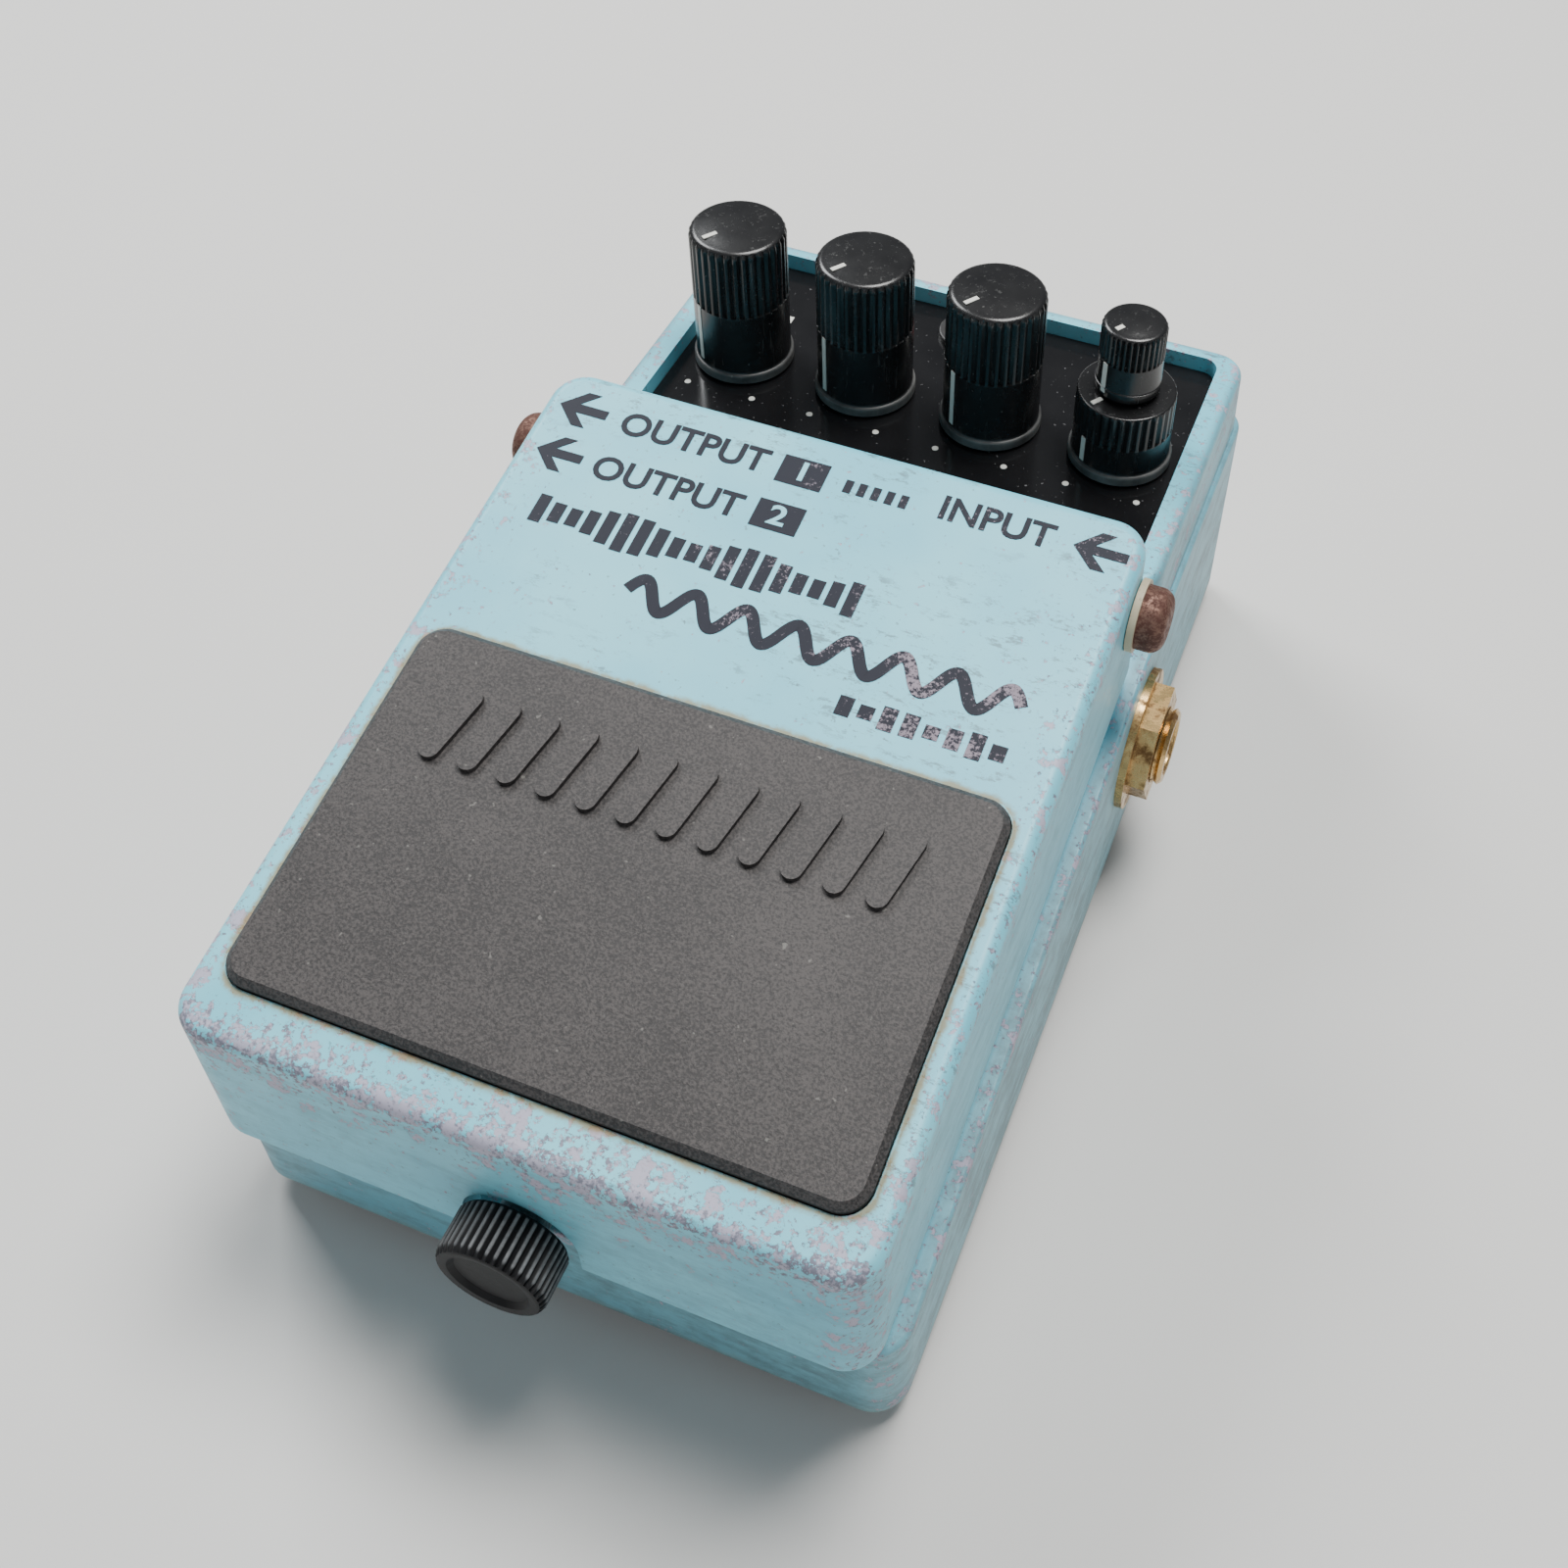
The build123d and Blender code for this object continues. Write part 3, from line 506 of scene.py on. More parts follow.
def metal(name, colour, stain, amount=0.4, shine=0.28, patch=2.2, matt=0.0):
    """Metal with stained patches; matt is how far the stain hides the metal."""
    skin = Finish(name)
    spots = skin.noise(patch, 5, 0.7, 3.3) * 0.65 + skin.noise(patch * 0.3, 4, 0.7, 6.6) * 0.35
    dull = skin.step(spots, 0.62 - amount * 0.3, 0.72 - amount * 0.2)
    lines = skin.noise(0.5, 3, 0.6, 4.0, (0.2, 1, 1))
    shade = skin.mix(dull, colour, stain)
    skin.set(Base_Color=shade, Metallic=1.0 - dull * matt, Roughness=shine + dull * 0.35 + lines * 0.12)
    return skin.bump(spots * 0.7 + lines * 0.3, 0.02 + 0.03 * matt, 0.35)


print("recipes: rubber, plastic, metal")

# %% Rubber and plastic parts
JACKS = "input_jack", "output_a_jack", "output_b_jack"
dress(rubber("pad_rubber", screen(47, 45, 45), screen(76, 72, 71), 0.28), "treadle_pad")
dress(rubber("mat_rubber", screen(30, 30, 31), screen(52, 51, 50), 0.8), "base_mat")
dress(plastic("switch_plastic", screen(28, 28, 30), screen(90, 88, 84), 0.4),
      "plunger_tip", "switch_body", "battery_snap", "power_jack", "lamp_bezel")
dress(plastic("button_plastic", screen(214, 208, 190), screen(150, 140, 118), 0.35), "switch_button")
dress(plastic("jack_plastic", screen(34, 34, 36), screen(110, 106, 98), 0.4),
      *[f"{jack}_body" for jack in JACKS])
dress(plastic("nylon", screen(196, 184, 156), screen(124, 100, 72), 0.45, 0.8),
      "hinge_bush_left", "hinge_bush_right")
dress(plastic("battery_jacket", screen(62, 64, 70), screen(120, 118, 112), 0.35), "battery")
dress(plastic("lamp_red", screen(150, 14, 12), screen(90, 30, 26), 0.15, 0.2), "lamp_lens")
dress(plastic("board_green", screen(26, 74, 46), screen(120, 128, 110), 0.35),
      "main_board", "control_board")
print("rubber and plastic dressed")

# %% Metal parts
FOUR = 1, 2, 3, 4
nickel = metal("jack_nickel", screen(206, 172, 118), screen(106, 78, 46), 0.5, 0.2, 3.4, 0.35)
dress(nickel, *[f"{jack}_{part}" for jack in JACKS for part in ("washer", "nut")])
dress(metal("plate_steel", screen(176, 178, 180), screen(112, 104, 96), 0.35),
      "bottom_plate", *[f"bottom_screw_{i}" for i in FOUR])
dress(metal("spring_steel", screen(170, 172, 174), screen(104, 92, 80), 0.4),
      "treadle_spring", "thumbscrew_shank")
dress(metal("rusty_steel", screen(134, 104, 92), screen(84, 52, 44), 0.75, 0.45, 0.7, 0.85),
      "hinge_pin_left", "hinge_pin_right")
dress(metal("insert_brass", screen(196, 160, 92), screen(120, 92, 56), 0.5), "screw_insert")
dress(metal("pot_zinc", screen(168, 170, 172), screen(128, 122, 112), 0.4),
      *[f"pot_{i}" for i in FOUR], *[f"pot_nut_{i}" for i in FOUR])
dress(metal("shaft_aluminium", screen(196, 197, 198), screen(140, 136, 130), 0.3),
      "shaft_1", "shaft_2", "shaft_3", "shaft_4_outer", "shaft_4_inner")
print("finishes so far:", len(bpy.data.materials))

# %% [markdown]
# The panel under the knobs is black enamel, glossy and dusty. The dust gathers in specks, so a
# fine noise over a high threshold paints them and also dulls the gloss under each one.

# %% Panel
panel = Finish("panel_black")
specks = panel.step(panel.noise(0.55, 3, 0.6, 2.0), 0.66, 0.72)
dust = specks * panel.step(panel.noise(6, 3, 0.6, 4.0), 0.4, 0.6)
film = panel.noise(8, 4, 0.6, 7.0)
dusty = (dust * 0.55 + film * 0.04).least(1.0)
panel.set(Base_Color=panel.mix(dusty, screen(12, 12, 14), screen(130, 130, 132)),
          Roughness=0.1 + film * 0.12 + dust * 0.5)
panel.bump(dust * 0.7 + panel.noise(1.5, 3, 0.6, 1.0) * 0.3, 0.03, 0.5)
dress(panel, "control_panel")
print("panel dressed")

# %% [markdown]
# ## Geometry Nodes trees
# Flutes, ridges and threads repeat, so Geometry Nodes make them. A `Recipe` is a `Maker` whose
# tree has named inputs. `cook` runs it once on a starting mesh, hands back a plain mesh, and
# leaves no modifier behind.

# %% Recipes
SOCKETS = {
    int: "NodeSocketInt",
    float: "NodeSocketFloat",
    bpy.types.Material: "NodeSocketMaterial",
}


class Recipe(Maker):
    """A Geometry Nodes tree with named inputs."""

    def __init__(self, name, **inputs):
        super().__init__(bpy.data.node_groups.new(name, "GeometryNodeTree"))
        self.name = name
        face = self.tree.interface
        face.new_socket("Geometry", in_out="INPUT", socket_type="NodeSocketGeometry")
        for label, value in inputs.items():
            kind = next(socket for sort, socket in SOCKETS.items() if isinstance(value, sort))
            socket = face.new_socket(label, in_out="INPUT", socket_type=kind)
            socket.default_value = value
        face.new_socket("Geometry", in_out="OUTPUT", socket_type="NodeSocketGeometry")
        self.start = self.tree.nodes.new("NodeGroupInput")

    def given(self, label):
        """One of the tree's inputs."""
        return Value(self, self.start.outputs[label])

    def serve(self, geometry):
        """Ends the tree: instances made real, and the finish put on."""
        solid = self.add("GeometryNodeRealizeInstances", {}, geometry)
        dressed = self.add("GeometryNodeSetMaterial", {}, solid, Material=self.given("finish"))
        end = self.tree.nodes.new("NodeGroupOutput")
        self.tree.links.new(dressed.socket, end.inputs[0])

    def cook(self, start, **inputs):
        """Runs the tree on a mesh and gives back the plain mesh it makes."""
        holder = bpy.data.objects.new(self.name, start)
        bpy.context.collection.objects.link(holder)
        modifier = holder.modifiers.new(self.name, "NODES")
        modifier.node_group = self.tree
        for item in self.tree.interface.items_tree:
            if item.item_type == "SOCKET" and item.in_out == "INPUT" and item.name in inputs:
                modifier[item.identifier] = inputs[item.name]
        ready = holder.evaluated_get(bpy.context.evaluated_depsgraph_get())
        made = bpy.data.meshes.new_from_object(ready)
        bpy.data.objects.remove(holder)
        return made


print("recipes can be written and cooked")

# %% From a mesh to a piece
WELD = 1e-6


def wire(points):
    """A mesh that is only a run of points, radius and height in millimetres."""
    mesh = bpy.data.meshes.new("run")
    mesh.from_pydata([(radius * MM, 0, height * MM) for radius, height in points], [], [])
    return mesh


def set_down(name, mesh, place, body, smooth=None):
    """Makes a piece of a mesh: puts it in place, turns its faces out, and lets it ride on a body."""
    mesh.transform(place)
    work = bmesh.new()
    work.from_mesh(mesh)
    bmesh.ops.remove_doubles(work, verts=work.verts, dist=WELD)
    bmesh.ops.recalc_face_normals(work, faces=work.faces)
    work.to_mesh(mesh)
    work.free()
    if smooth is None:
        mesh.shade_flat()
    else:
        mesh.shade_smooth()
        mesh.set_sharp_from_angle(angle=math.radians(smooth))
    piece = bpy.data.objects.new(name, mesh)
    bpy.context.collection.objects.link(piece)
    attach(piece, body)
    return piece


print("pieces can be set down")

# %% [markdown]
# ### Turned pieces
# A knob is turned work: one outline swept round an axis, with flutes cut into part of its side.
# The tree lays out a grid with one column for each step round and one row for each point of the
# outline, then sends every grid point to its place. Flutes are a cosine taken off the radius,
# only between two heights and only outside the rim, so that the cap and the hollow stay round.

# %% The turning recipe
turning = Recipe("turning", steps=96, flutes=0, depth=0.0, flutes_from=0.0, flutes_to=1.0, rim=0.0,
                 finish=panel.material)
outline = turning.given("Geometry")
rows = turning.add("GeometryNodeAttributeDomainSize", {"component": "MESH"}, outline)
grid = turning.add("GeometryNodeMeshGrid", {}, 1.0, 1.0, turning.given("steps") + 1.0, rows)
number = turning.add("GeometryNodeInputIndex")
row, column = number % rows, (number / rows).maths("FLOOR")
here = turning.add("GeometryNodeInputPosition")
point = turning.add("GeometryNodeSampleIndex", {"data_type": "FLOAT_VECTOR", "domain": "POINT"},
                    outline, here, Index=row)
radius, height = (turning.add("ShaderNodeSeparateXYZ", {}, point, out=axis) for axis in ("X", "Z"))
print("turning recipe reads its outline")

# %% Flutes on the turned side
FLUTE_SHARPNESS = 1.6
angle = column / turning.given("steps") * math.tau
ripple = (angle * turning.given("flutes")).maths("COSINE") * 0.5 + 0.5
above = height.maths("GREATER_THAN", turning.given("flutes_from"))
under = height.maths("LESS_THAN", turning.given("flutes_to"))
outer = radius.maths("GREATER_THAN", turning.given("rim"))
cut = radius - ripple ** FLUTE_SHARPNESS * turning.given("depth") * above * under * outer
across, ahead = cut * angle.maths("COSINE"), cut * angle.maths("SINE")
place = turning.add("ShaderNodeCombineXYZ", {}, across, ahead, height)
moved = turning.add("GeometryNodeSetPosition", {}, grid, Position=place)
turning.serve(turning.add("GeometryNodeMergeByDistance", {}, moved, Distance=WELD / 10))
print("turning recipe:", len(turning.tree.nodes), "nodes")

# %% Arcs for outlines
def bend(centre_r, centre_z, size, start, stop, count=6):
    """Points on an arc of an outline, angles in degrees, 0 outwards and 90 up."""
    steps = [math.radians(start + (stop - start) * i / count) for i in range(count + 1)]
    return [(centre_r + size * math.cos(a), centre_z + size * math.sin(a)) for a in steps]


print("an arc has", len(bend(0, 0, 1, 0, 90)), "points")

# %% [markdown]
# ## Knobs
# Each knob has a smooth lower half on a slightly wider foot, a finely fluted upper half and a
# cap that is rounded at its edge and just domed. The inside is hollow, because the nut and neck
# of the control stand inside it. The fourth is two knobs on one axis: a low ring and a slim top.

# %% Knob finish
PANEL_TOP = corners("control_panel")[1].z
KNOB_FOOT, KNOB_TOP = (corner.z for corner in corners("knob_1"))
knob_plastic = Finish("knob_plastic")
height = knob_plastic.axes()[2]
foot_wear = knob_plastic.step(KNOB_FOOT + 1.6 - height, 0.0, 0.7)
rubs = knob_plastic.step(knob_plastic.noise(0.8, 4, 0.7, 2.5, (1, 1, 0.12)), 0.58, 0.72)
motes = knob_plastic.step(knob_plastic.noise(0.5, 2, 0.5, 5.0), 0.7, 0.75)
haze = knob_plastic.noise(5, 4, 0.6, 1.0)
share = (foot_wear * (haze * 1.1 - 0.22) + rubs * 0.1 + motes * 0.22 + haze * 0.04).least(1.0)
knob_plastic.set(Base_Color=knob_plastic.mix(share, screen(13, 13, 15), screen(150, 150, 148)),
                 Roughness=0.2 + haze * 0.12 + rubs * 0.12 + foot_wear * 0.25)
knob_plastic.bump(knob_plastic.noise(0.4, 3, 0.6, 9.0), 0.015, 0.5)
print("knobs stand from", round(KNOB_FOOT, 2), "to", round(KNOB_TOP, 2), "mm")

# %% Knob outline
KNOB_R, SLIM_R, SHAFT_R = 5.95, 3.85, 3.0
FLANGE, FLANGE_ROUND, FLANGE_TOP = 0.35, 0.3, 0.9
DOME_STEPS = 6


def knob_outline(r, foot, top, edge, dome, hollow_r, hollow_h, bore):
    """From the hollow, round the foot and up to the cap. A bore leaves the cap open."""
    flange = r + (FLANGE if foot < PANEL_TOP + 2 else 0.0)
    half_way, rise = (foot + top) / 2, top - dome - edge
    points = [(bore, foot + hollow_h), (hollow_r, foot + hollow_h), (hollow_r, foot), (flange, foot)]
    points += bend(flange - FLANGE_ROUND, foot + FLANGE_TOP, FLANGE_ROUND, 0, 90)
    points += bend(r + FLANGE_ROUND / 2, foot + 1.5 * FLANGE_TOP, FLANGE_ROUND / 2, 270, 180, 3)
    points += [(r, half_way - 0.25), (r, half_way - 0.02), (r, half_way + 0.02), (r, rise - 0.6), (r, rise)]
    points += bend(r - edge, rise, edge, 8, 82)
    cap_r = r - edge
    for i in range(DOME_STEPS + 1):
        across = cap_r + (bore - cap_r) * i / DOME_STEPS
        points.append((across, top - dome * (across / cap_r) ** 2))
    return points + ([points[0]] if bore else [])


print("knob outline ready for radii", KNOB_R, "and", SLIM_R, "mm")

# %% Knob shapes
KNOB_FLUTES, FLUTE_DEPTH = 34, 0.34
STEPS_PER_FLUTE = 6
KNOB_EDGE, RING_EDGE, SLIM_EDGE = 0.9, 0.35, 0.7
HOLLOW_R, HOLLOW_H = 5.0, 5.2
RING_TOP = corners("knob_4_ring")[1].z
SLIM_FOOT, SLIM_TOP = (corner.z for corner in corners("knob_4_top"))


def make_knob(node, body, r, foot, top, edge, dome, hollow_r, hollow_h, bore=0.0):
    """One turned knob, in millimetres, in place of the plain one; edge is its cap's rounding."""
    run = wire(knob_outline(r, foot, top, edge, dome, hollow_r, hollow_h, bore))
    mesh = turning.cook(run, steps=KNOB_FLUTES * STEPS_PER_FLUTE, flutes=KNOB_FLUTES,
                        depth=FLUTE_DEPTH * MM, flutes_from=(foot + top) / 2 * MM,
                        flutes_to=(top - dome - edge * 0.35) * MM, rim=(r - edge * 0.9) * MM,
                        finish=knob_plastic.material)
    centre = middle(node)
    place = Matrix.Translation((centre.x * MM, centre.y * MM, 0))
    knob = set_down(f"{node}_turned", mesh, place, body, 35)
    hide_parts(node)
    print(node, "faces", len(mesh.polygons))


for node in ("knob_1", "knob_2", "knob_3"):
    make_knob(node, node, KNOB_R, KNOB_FOOT, KNOB_TOP, KNOB_EDGE, 0.35, HOLLOW_R, HOLLOW_H)
make_knob("knob_4_ring", "knob_4_lower", KNOB_R, KNOB_FOOT, RING_TOP, RING_EDGE, 0.25, HOLLOW_R, HOLLOW_H,
          SHAFT_R)
make_knob("knob_4_top", "knob_4_upper", SLIM_R, SLIM_FOOT, SLIM_TOP, SLIM_EDGE, 0.3, 2.3, 1.0)

# %% [markdown]
# White lines show where each knob points: one stands on the smooth lower half and a short dash
# lies on the cap. They are grooves filled with paint, so each is a thin closed bar let into the
# plastic until it just shows, and it rides with its knob.

# %% Bars and merging
def bar(wide, long, thick):
    """A closed flat bar, centred, in millimetres."""
    mesh = bpy.data.meshes.new("bar")
    work = bmesh.new()
    bmesh.ops.create_cube(work, size=1.0)
    bmesh.ops.scale(work, vec=(wide * MM, long * MM, thick * MM), verts=work.verts)
    work.to_mesh(mesh)
    work.free()
    return mesh


def merge(name, meshes, finish):
    """One mesh from several, with one finish."""
    work = bmesh.new()
    for mesh in meshes:
        work.from_mesh(mesh)
    made = bpy.data.meshes.new(name)
    work.to_mesh(made)
    work.free()
    made.materials.append(finish.material)
    return made


print("bars can be made and merged")

# %% Pointer lines
POINTER = Matrix.Rotation(math.radians(-125), 4, "Z")
LINE_DEEP, LINE_WIDE = 0.14, 0.7
DASH_WIDE, DASH_THICK, DASH_SINK, DASH_INSET = 0.6, 0.12, 0.16, 0.3
white_fill = plastic("white_fill", screen(222, 222, 214), screen(150, 146, 134), 0.4, 0.5)


def pointer(node, body, r, low, high, top, dash, edge):
    """The line up the lower side of a knob and the dash on its cap."""
    centre = middle(node)
    turn = Matrix.Translation((centre.x * MM, centre.y * MM, 0)) @ POINTER
    line = bar(LINE_DEEP, LINE_WIDE, high - low)
    line.transform(turn @ Matrix.Translation((r * MM, 0, (low + high) / 2 * MM)))
    cap = bar(dash, DASH_WIDE, DASH_THICK)
    inward = r - edge - dash / 2 - DASH_INSET
    cap.transform(turn @ Matrix.Translation((inward * MM, 0, (top - DASH_SINK) * MM)))
    name = f"{node}_pointer"
    set_down(name, merge(name, [line, cap], white_fill), Matrix.Identity(4), body)


half_way = (KNOB_FOOT + KNOB_TOP) / 2
for node in ("knob_1", "knob_2", "knob_3"):
    pointer(node, node, KNOB_R, KNOB_FOOT + 1.8, half_way, KNOB_TOP, 1.9, KNOB_EDGE)
ring_half, slim_half = (KNOB_FOOT + RING_TOP) / 2, (SLIM_FOOT + SLIM_TOP) / 2
pointer("knob_4_ring", "knob_4_lower", KNOB_R, KNOB_FOOT + 1.6, ring_half, RING_TOP, 1.5, RING_EDGE)
pointer("knob_4_top", "knob_4_upper", SLIM_R, SLIM_FOOT + 0.5, slim_half, SLIM_TOP, 1.5, SLIM_EDGE)
print("pointer lines made")

# %% [markdown]
# ## Thumbscrew
# The screw at the front has a black head with sharp straight ridges, worn grey on their crests.
# It is turned like a knob, with its axis laid along the depth of the pedal.

# %% Thumbscrew finish
screw_low, screw_high = corners("thumbscrew_head")
screw_z = (screw_high.z + screw_low.z) / 2
HEAD_R, HEAD_L = (screw_high.x - screw_low.x) / 2, screw_high.y - screw_low.y
head_plastic = Finish("screw_plastic")
x, _, z = head_plastic.axes()
crest = head_plastic.step(hypot(x, z - screw_z), HEAD_R - 0.22, HEAD_R)
rub = head_plastic.noise(1.6, 4, 0.7, 3.0)
worn = (crest * rub * 1.1 + rub * 0.08).least(1.0)
head_plastic.set(Base_Color=head_plastic.mix(worn, screen(16, 16, 18), screen(136, 138, 140)),
                 Roughness=0.42 + rub * 0.2, Specular_IOR_Level=0.16)
head_plastic.bump(head_plastic.noise(0.5, 4, 0.7, 5.0), 0.03, 0.6)
print("thumbscrew head radius", round(HEAD_R, 2), "mm, length", round(HEAD_L, 2), "mm")

# %% Thumbscrew head
RIDGES, RIDGE_DEPTH = 40, 0.5
LIP, LIP_SINK = 0.6, 0.1
head_outline = [(0.0, HEAD_L - LIP), (HEAD_R - 1.9, HEAD_L - LIP), (HEAD_R - 1.4, HEAD_L - LIP_SINK)]
head_outline += bend(HEAD_R - 0.75, HEAD_L - LIP, LIP, 90, 10, 5)
head_outline += [(HEAD_R, HEAD_L - 0.8), (HEAD_R, 0.5), (HEAD_R - 0.4, 0.1), (HEAD_R - 0.8, 0.0), (0.0, 0.0)]
head = turning.cook(wire(head_outline), steps=RIDGES * STEPS_PER_FLUTE, flutes=RIDGES,
                    depth=RIDGE_DEPTH * MM, flutes_from=0.2 * MM, flutes_to=(HEAD_L - 0.15) * MM,
                    rim=(HEAD_R - 0.5) * MM, finish=head_plastic.material)
laid = Matrix.Translation((0, screw_high.y * MM, screw_z * MM)) @ Matrix.Rotation(math.radians(90), 4, "X")
ridged = set_down("thumbscrew_ridged", head, laid, "thumbscrew", 30)
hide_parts("thumbscrew_head")
print("thumbscrew head faces", len(head.polygons))

# %% [markdown]
# ## Jack necks
# The neck that comes through the side wall is threaded for its nut. The thread is drawn as
# close rings, which at this size cannot be told from a helix and close cleanly at both ends.

# %% Jack necks
NECK_R, NECK_BORE = 4.68, 3.3
PITCH, THREAD_DEPTH = 0.75, 0.3
TIP, LIP_ROUND = 0.5, 0.35


def neck_outline(length, inside):
    """Bore, then the plain part inside the wall, the thread and the rounded tip."""
    turns = int((length - inside - 0.6) / PITCH)
    points = [(NECK_BORE, 0.0), (NECK_R, 0.0), (NECK_R, inside)]
    for i in range(turns):
        points.append((NECK_R, inside + (i + 0.25) * PITCH))
        points.append((NECK_R - THREAD_DEPTH, inside + (i + 0.75) * PITCH))
    points += [(NECK_R, length - TIP), (NECK_R - 0.4, length - 0.05), (NECK_R - 0.8, length)]
    points += bend(NECK_BORE + LIP_ROUND, length - LIP_ROUND, LIP_ROUND, 90, 180, 4)
    return points + [(NECK_BORE, 0.0)]


def make_neck(jack):
    """The threaded neck of one jack, replacing the plain one."""
    low, high = corners(f"{jack}_bushing")
    side = 1 if low.x > 0 else -1
    start = min(abs(low.x), abs(high.x))
    wall = min(abs(corner.x) for corner in corners(f"{jack}_washer"))
    mesh = turning.cook(wire(neck_outline(high.x - low.x, wall - start)), steps=72, finish=nickel.material)
    centre = middle(f"{jack}_bushing")
    place = Matrix.Translation((start * side * MM, centre.y * MM, centre.z * MM))
    aim = Matrix.Rotation(math.radians(90 * side), 4, "Y")
    neck = set_down(f"{jack}_neck", mesh, place @ aim, "case", 40)
    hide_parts(f"{jack}_bushing")
    print(neck.name, "faces", len(mesh.polygons))


for jack in JACKS:
    make_neck(jack)

# %% [markdown]
# ## Printing on the treadle
# The ink is screen-printed: dark, thin and scuffed. Arrows point to the sockets with plain
# labels beside them. Bars and a wave stand where a title would, made by two small recipes, one
# that repeats a bar along a line with its height on a rhythm, and one that sweeps a wave.

# %% Ink
INK_T = 0.03
ink = Finish("dark_ink")
x, y, _ = ink.axes()
to_the_right = (x * 0.0022).most(-0.04).least(0.05)
top_rows = ink.step(y, 1.0, 5.0) * 0.045
rubbed = ink.noise(0.45, 5, 0.75, 2.0) * 0.6 + ink.noise(5, 3, 0.6, 5.0) * 0.4 + to_the_right - top_rows
flecks = ink.step(rubbed, 0.55, 0.61)
ink.set(Base_Color=ink.mix(flecks * 0.7, screen(24, 27, 40), screen(168, 156, 168)),
        Roughness=0.5 + flecks * 0.1, Specular_IOR_Level=0.2)
ink.bump(flecks, 0.02, 0.4)
print("ink", INK_T * 2, "mm thick")

# %% Letters and plates
BODY_TO_CAPITAL = 1.4
BOLDER = 0.03


def lettering(text, size, finish, stretch=1.0, thick=INK_T):
    """A mesh of plain text, centred, its capitals about size millimetres high."""
    curve = bpy.data.curves.new("text", "FONT")
    curve.body = text
    curve.align_x, curve.align_y = "CENTER", "CENTER"
    curve.size = size * BODY_TO_CAPITAL * MM
    curve.extrude = thick * MM
    curve.offset = size * BOLDER * MM
    curve.resolution_u = 4
    holder = bpy.data.objects.new("text", curve)
    bpy.context.collection.objects.link(holder)
    ready = holder.evaluated_get(bpy.context.evaluated_depsgraph_get())
    made = bpy.data.meshes.new_from_object(ready)
    bpy.data.objects.remove(holder)
    made.transform(Matrix.Diagonal((stretch, 1, 1, 1)))
    made.materials.clear()
    made.materials.append(finish.material)
    return made


def flat(points):
    """A thin closed plate of ink from an outline in millimetres."""
    work = bmesh.new()
    base = work.faces.new([work.verts.new((x * MM, y * MM, -INK_T * MM)) for x, y in points])
    grown = bmesh.ops.extrude_face_region(work, geom=[base])
    moved = [part for part in grown["geom"] if isinstance(part, bmesh.types.BMVert)]
    bmesh.ops.translate(work, verts=moved, vec=(0, 0, 2 * INK_T * MM))
    mesh = bpy.data.meshes.new("plate")
    work.to_mesh(mesh)
    work.free()
    return mesh


def arrow(long, half):
    """An open arrow that points left, its tip at the origin and its head twice half tall."""
    head = half * 1.05
    thick = half * 0.25
    barb = thick * 2.7
    joint = thick * 1.05 + barb
    return flat([(0, 0), (head, half), (head + barb, half), (joint, thick), (long, thick),
                 (long, -thick), (joint, -thick), (head + barb, -half), (head, -half)])


def print_on(name, mesh, x, along):
    """Sets a mesh of ink on the treadle, millimetres across and up the slope."""
    mesh.materials.clear()
    mesh.materials.append(ink.material)
    set_down(name, mesh, on_treadle(x, along, INK_T), "treadle")


print("letters, plates and arrows ready")

# %% Arrows and labels
LABEL, LABEL_STRETCH = 3.1, 1.04
print_on("arrow_1", arrow(5.9, 2.4), -33.0, 76.8)
print_on("arrow_2", arrow(5.6, 2.3), -32.6, 70.3)
print_on("arrow_3", arrow(6.0, 2.4), 27.5, 77.0)
print_on("label_out_1", lettering("OUTPUT", LABEL, ink, LABEL_STRETCH), -16.3, 76.5)
print_on("label_out_2", lettering("OUTPUT", LABEL, ink, LABEL_STRETCH), -16.6, 70.0)
print_on("label_in", lettering("INPUT", LABEL, ink, LABEL_STRETCH), 18.9, 77.0)
print("labels printed")

# %% [markdown]
# Numbered boxes follow the two output labels. The digit looks cut out of its box, because it is
# printed in the paint's colour a hair higher.

# %% Numbered boxes
BOX_HALF, BOX_TALL = 2.7, 1.85
pale = plastic("pale_print", PAINT_LIGHT, CHIP_PALE, 0.4)
box_corners = [(BOX_HALF * a, BOX_TALL * b) for a, b in ((-1, -1), (1, -1), (1, 1), (-1, 1))]
for digit, x, along in (("1", -3.2, 76.5), ("2", -3.5, 70.2)):
    print_on(f"box_{digit}", flat(box_corners), x, along)
    set_down(f"digit_{digit}", lettering(digit, 2.5, pale, 1.2, 0.02), on_treadle(x, along, 3 * INK_T),
             "treadle")
print("numbered boxes printed")

# %% [markdown]
# A bar's height follows a sine of its number, so a row looks like writing without being any.
# The count, spacing, width, height and rhythm are all inputs, and three rows share the tree.

# %% Bars on a rhythm
bars = Recipe("bars", count=12, length=0.03, width=0.001, height=0.004, rhythm=1.0, sway=0.5,
              thick=2 * INK_T * MM, finish=ink.material)
spacing = bars.add("ShaderNodeCombineXYZ", {}, bars.given("length") / bars.given("count"), 0.0, 0.0)
line = bars.add("GeometryNodeMeshLine", {"mode": "OFFSET"}, Count=bars.given("count"), Offset=spacing)
phase = bars.add("GeometryNodeInputIndex") * bars.given("rhythm")
tall = 1.0 - bars.given("sway") * (phase.maths("SINE") * 0.5 + 0.5)
size = bars.add("ShaderNodeCombineXYZ", {}, bars.given("width"), bars.given("height"), bars.given("thick"))
cube = bars.add("GeometryNodeMeshCube", {}, size)
scale = bars.add("ShaderNodeCombineXYZ", {}, 1.0, tall, 1.0)
bars.serve(bars.add("GeometryNodeInstanceOnPoints", {}, line, Instance=cube, Scale=scale))


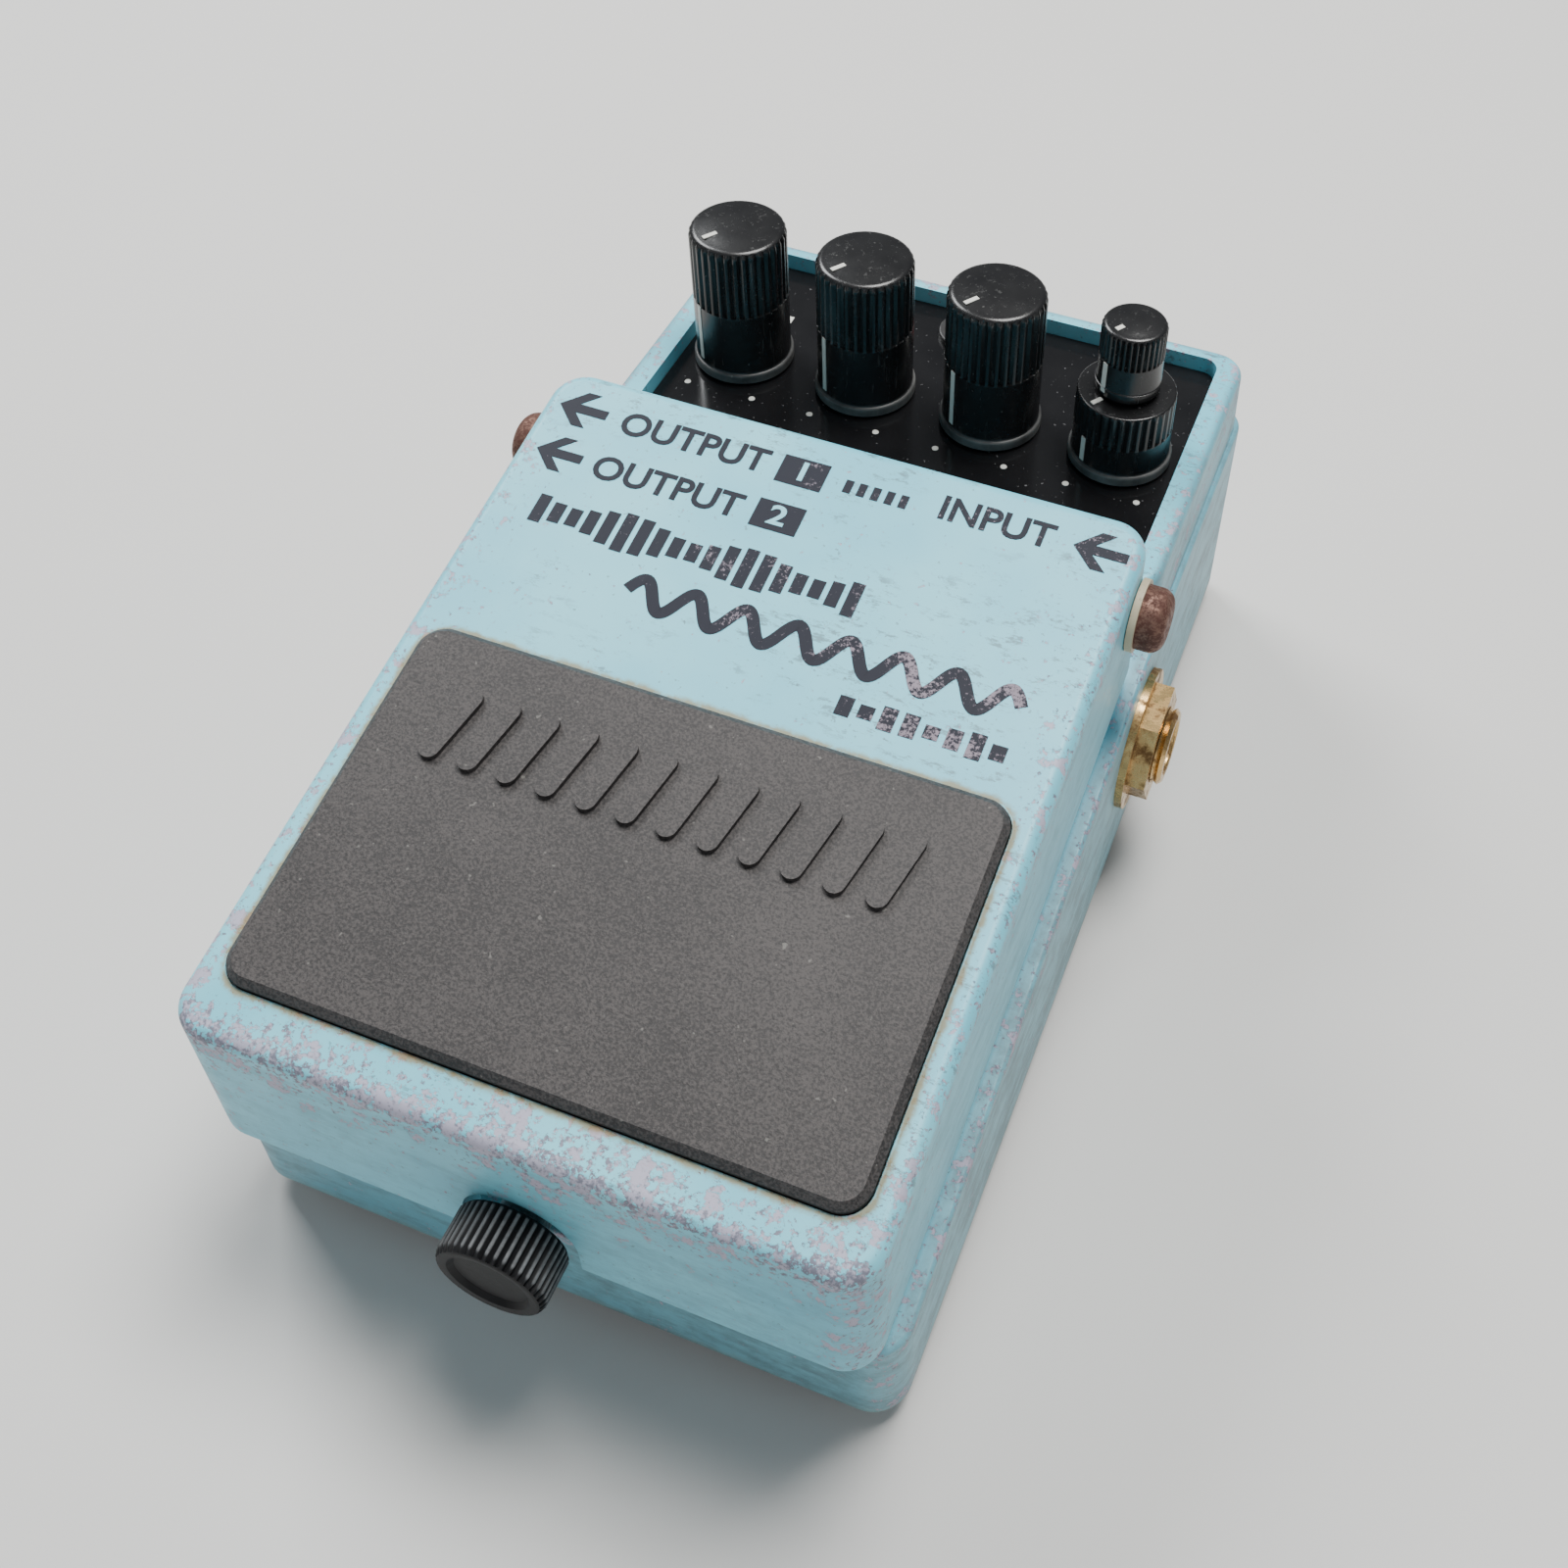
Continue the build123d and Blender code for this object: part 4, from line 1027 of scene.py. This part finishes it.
def nothing():
    """The empty mesh that a recipe with no outline starts from."""
    return bpy.data.meshes.new("start")


def bar_row(count, long, wide, tall, rhythm, sway):
    """A row of ink bars that starts at the left, in millimetres."""
    return bars.cook(nothing(), count=count, length=long * MM, width=wide * MM, height=tall * MM,
                     rhythm=rhythm, sway=sway, finish=ink.material)


print_on("title_bars", bar_row(19, 38.5, 1.4, 5.0, 0.9, 0.55), -28.4, 63.0)
print_on("model_bars", bar_row(8, 18.5, 1.6, 3.0, 1.9, 0.5), 12.0, 51.0)
print_on("note_bars", bar_row(5, 8.0, 0.9, 1.7, 0.0, 0.0), 2.2, 76.4)
print("bar rows printed")

# %% [markdown]
# The wave is a straight line of points swung by a sine along its length, with a thin rectangle
# swept along it. Turning the curve's normals upwards keeps the ribbon flat on the treadle.

# %% A wave
WAVE_POINTS = 220
waves = Recipe("waves", length=0.04, height=0.004, turns=6.0, width=0.0012, thick=2 * INK_T * MM,
               finish=ink.material)
far_end = waves.add("ShaderNodeCombineXYZ", {}, waves.given("length"), 0.0, 0.0)
path = waves.add("GeometryNodeCurvePrimitiveLine", {"mode": "POINTS"}, (0, 0, 0), far_end)
path = waves.add("GeometryNodeResampleCurve", {}, path, Count=WAVE_POINTS)
swing = (waves.add("GeometryNodeSplineParameter") * waves.given("turns") * math.tau).maths("SINE")
lift = waves.add("ShaderNodeCombineXYZ", {}, 0.0, swing * waves.given("height") * 0.5, 0.0)
path = waves.add("GeometryNodeSetPosition", {}, path, Offset=lift)
path = waves.add("GeometryNodeSetCurveNormal", {"mode": "Z_UP"}, path)
section = waves.add("GeometryNodeCurvePrimitiveQuadrilateral", {}, waves.given("width"), waves.given("thick"))
waves.serve(waves.add("GeometryNodeCurveToMesh", {}, path, section, Fill_Caps=True))
ribbon = waves.cook(nothing(), length=43.5 * MM, height=3.4 * MM, turns=7.5, width=1.35 * MM,
                    finish=ink.material)
print_on("title_wave", ribbon, -14.8, 56.6)
print("wave faces", len(ribbon.polygons))

# %% [markdown]
# ## Printing on the panel
# Two white dots mark the ends of each knob's travel, and short marks behind each knob stand for
# its name. The dots are small closed discs on a run of points, two points to a knob.

# %% Panel dots
DOTS_Y, DISC_SIDES = 35.0, 16
PRINT_T = 0.06
dots = Recipe("dots", count=4, pitch=0.0166, spread=0.0044, size=0.0004, thick=PRINT_T * MM,
              finish=white_fill.material)
line = dots.add("GeometryNodeMeshLine", {"mode": "OFFSET"}, Count=dots.given("count") * 2.0, Offset=(0, 0, 0))
which = dots.add("GeometryNodeInputIndex")
knob_number, sign = (which / 2.0).maths("FLOOR"), which % 2.0 * 2.0 - 1.0
across = knob_number * dots.given("pitch") + sign * dots.given("spread")
line = dots.add("GeometryNodeSetPosition", {}, line,
                Position=dots.add("ShaderNodeCombineXYZ", {}, across, 0.0, 0.0))
disc = dots.add("GeometryNodeMeshCylinder", {}, DISC_SIDES, 1, 1, dots.given("size"), dots.given("thick"))
dots.serve(dots.add("GeometryNodeInstanceOnPoints", {}, line, Instance=disc))

knob_x = [middle(node).x for node in ("knob_1", "knob_2", "knob_3", "knob_4_ring")]
spots = dots.cook(nothing(), pitch=(knob_x[1] - knob_x[0]) * MM, finish=white_fill.material)
first = Matrix.Translation((knob_x[0] * MM, DOTS_Y * MM, (PANEL_TOP + PRINT_T / 2) * MM))
set_down("panel_dots", spots, first, "case")
print("panel dots:", 2 * len(knob_x))

# %% Panel marks
MARKS_Y, MARK_PITCH, MARKS_EACH = 51.2, 1.6, 4
marks = []
for x in knob_x:
    for i in range(MARKS_EACH):
        mark = bar(1.0, 1.3, PRINT_T)
        left = x + (i - (MARKS_EACH - 1) / 2) * MARK_PITCH
        mark.transform(Matrix.Translation((left * MM, MARKS_Y * MM, (PANEL_TOP + PRINT_T / 2) * MM)))
        marks.append(mark)
set_down("panel_marks", merge("panel_marks", marks, white_fill), Matrix.Identity(4), "case")
print("panel marks:", len(marks))

# %% [markdown]
# ## Floor
# A plain pale sheet, a little uneven in tone.

# %% Floor
REACH = 3
floor_finish = Finish("floor_pale")
tone = floor_finish.mix(floor_finish.noise(180, 3), screen(214, 213, 210), screen(222, 221, 219))
floor_finish.set(Base_Color=tone, Roughness=0.75)
floor_mesh = bpy.data.meshes.new("floor")
floor_corners = [(-REACH, -REACH, 0), (REACH, -REACH, 0), (REACH, REACH, 0), (-REACH, REACH, 0)]
floor_mesh.from_pydata(floor_corners, [], [(0, 1, 2, 3)])
floor_mesh.materials.append(floor_finish.material)
floor = bpy.data.objects.new("floor", floor_mesh)
bpy.context.collection.objects.link(floor)
print("floor laid")
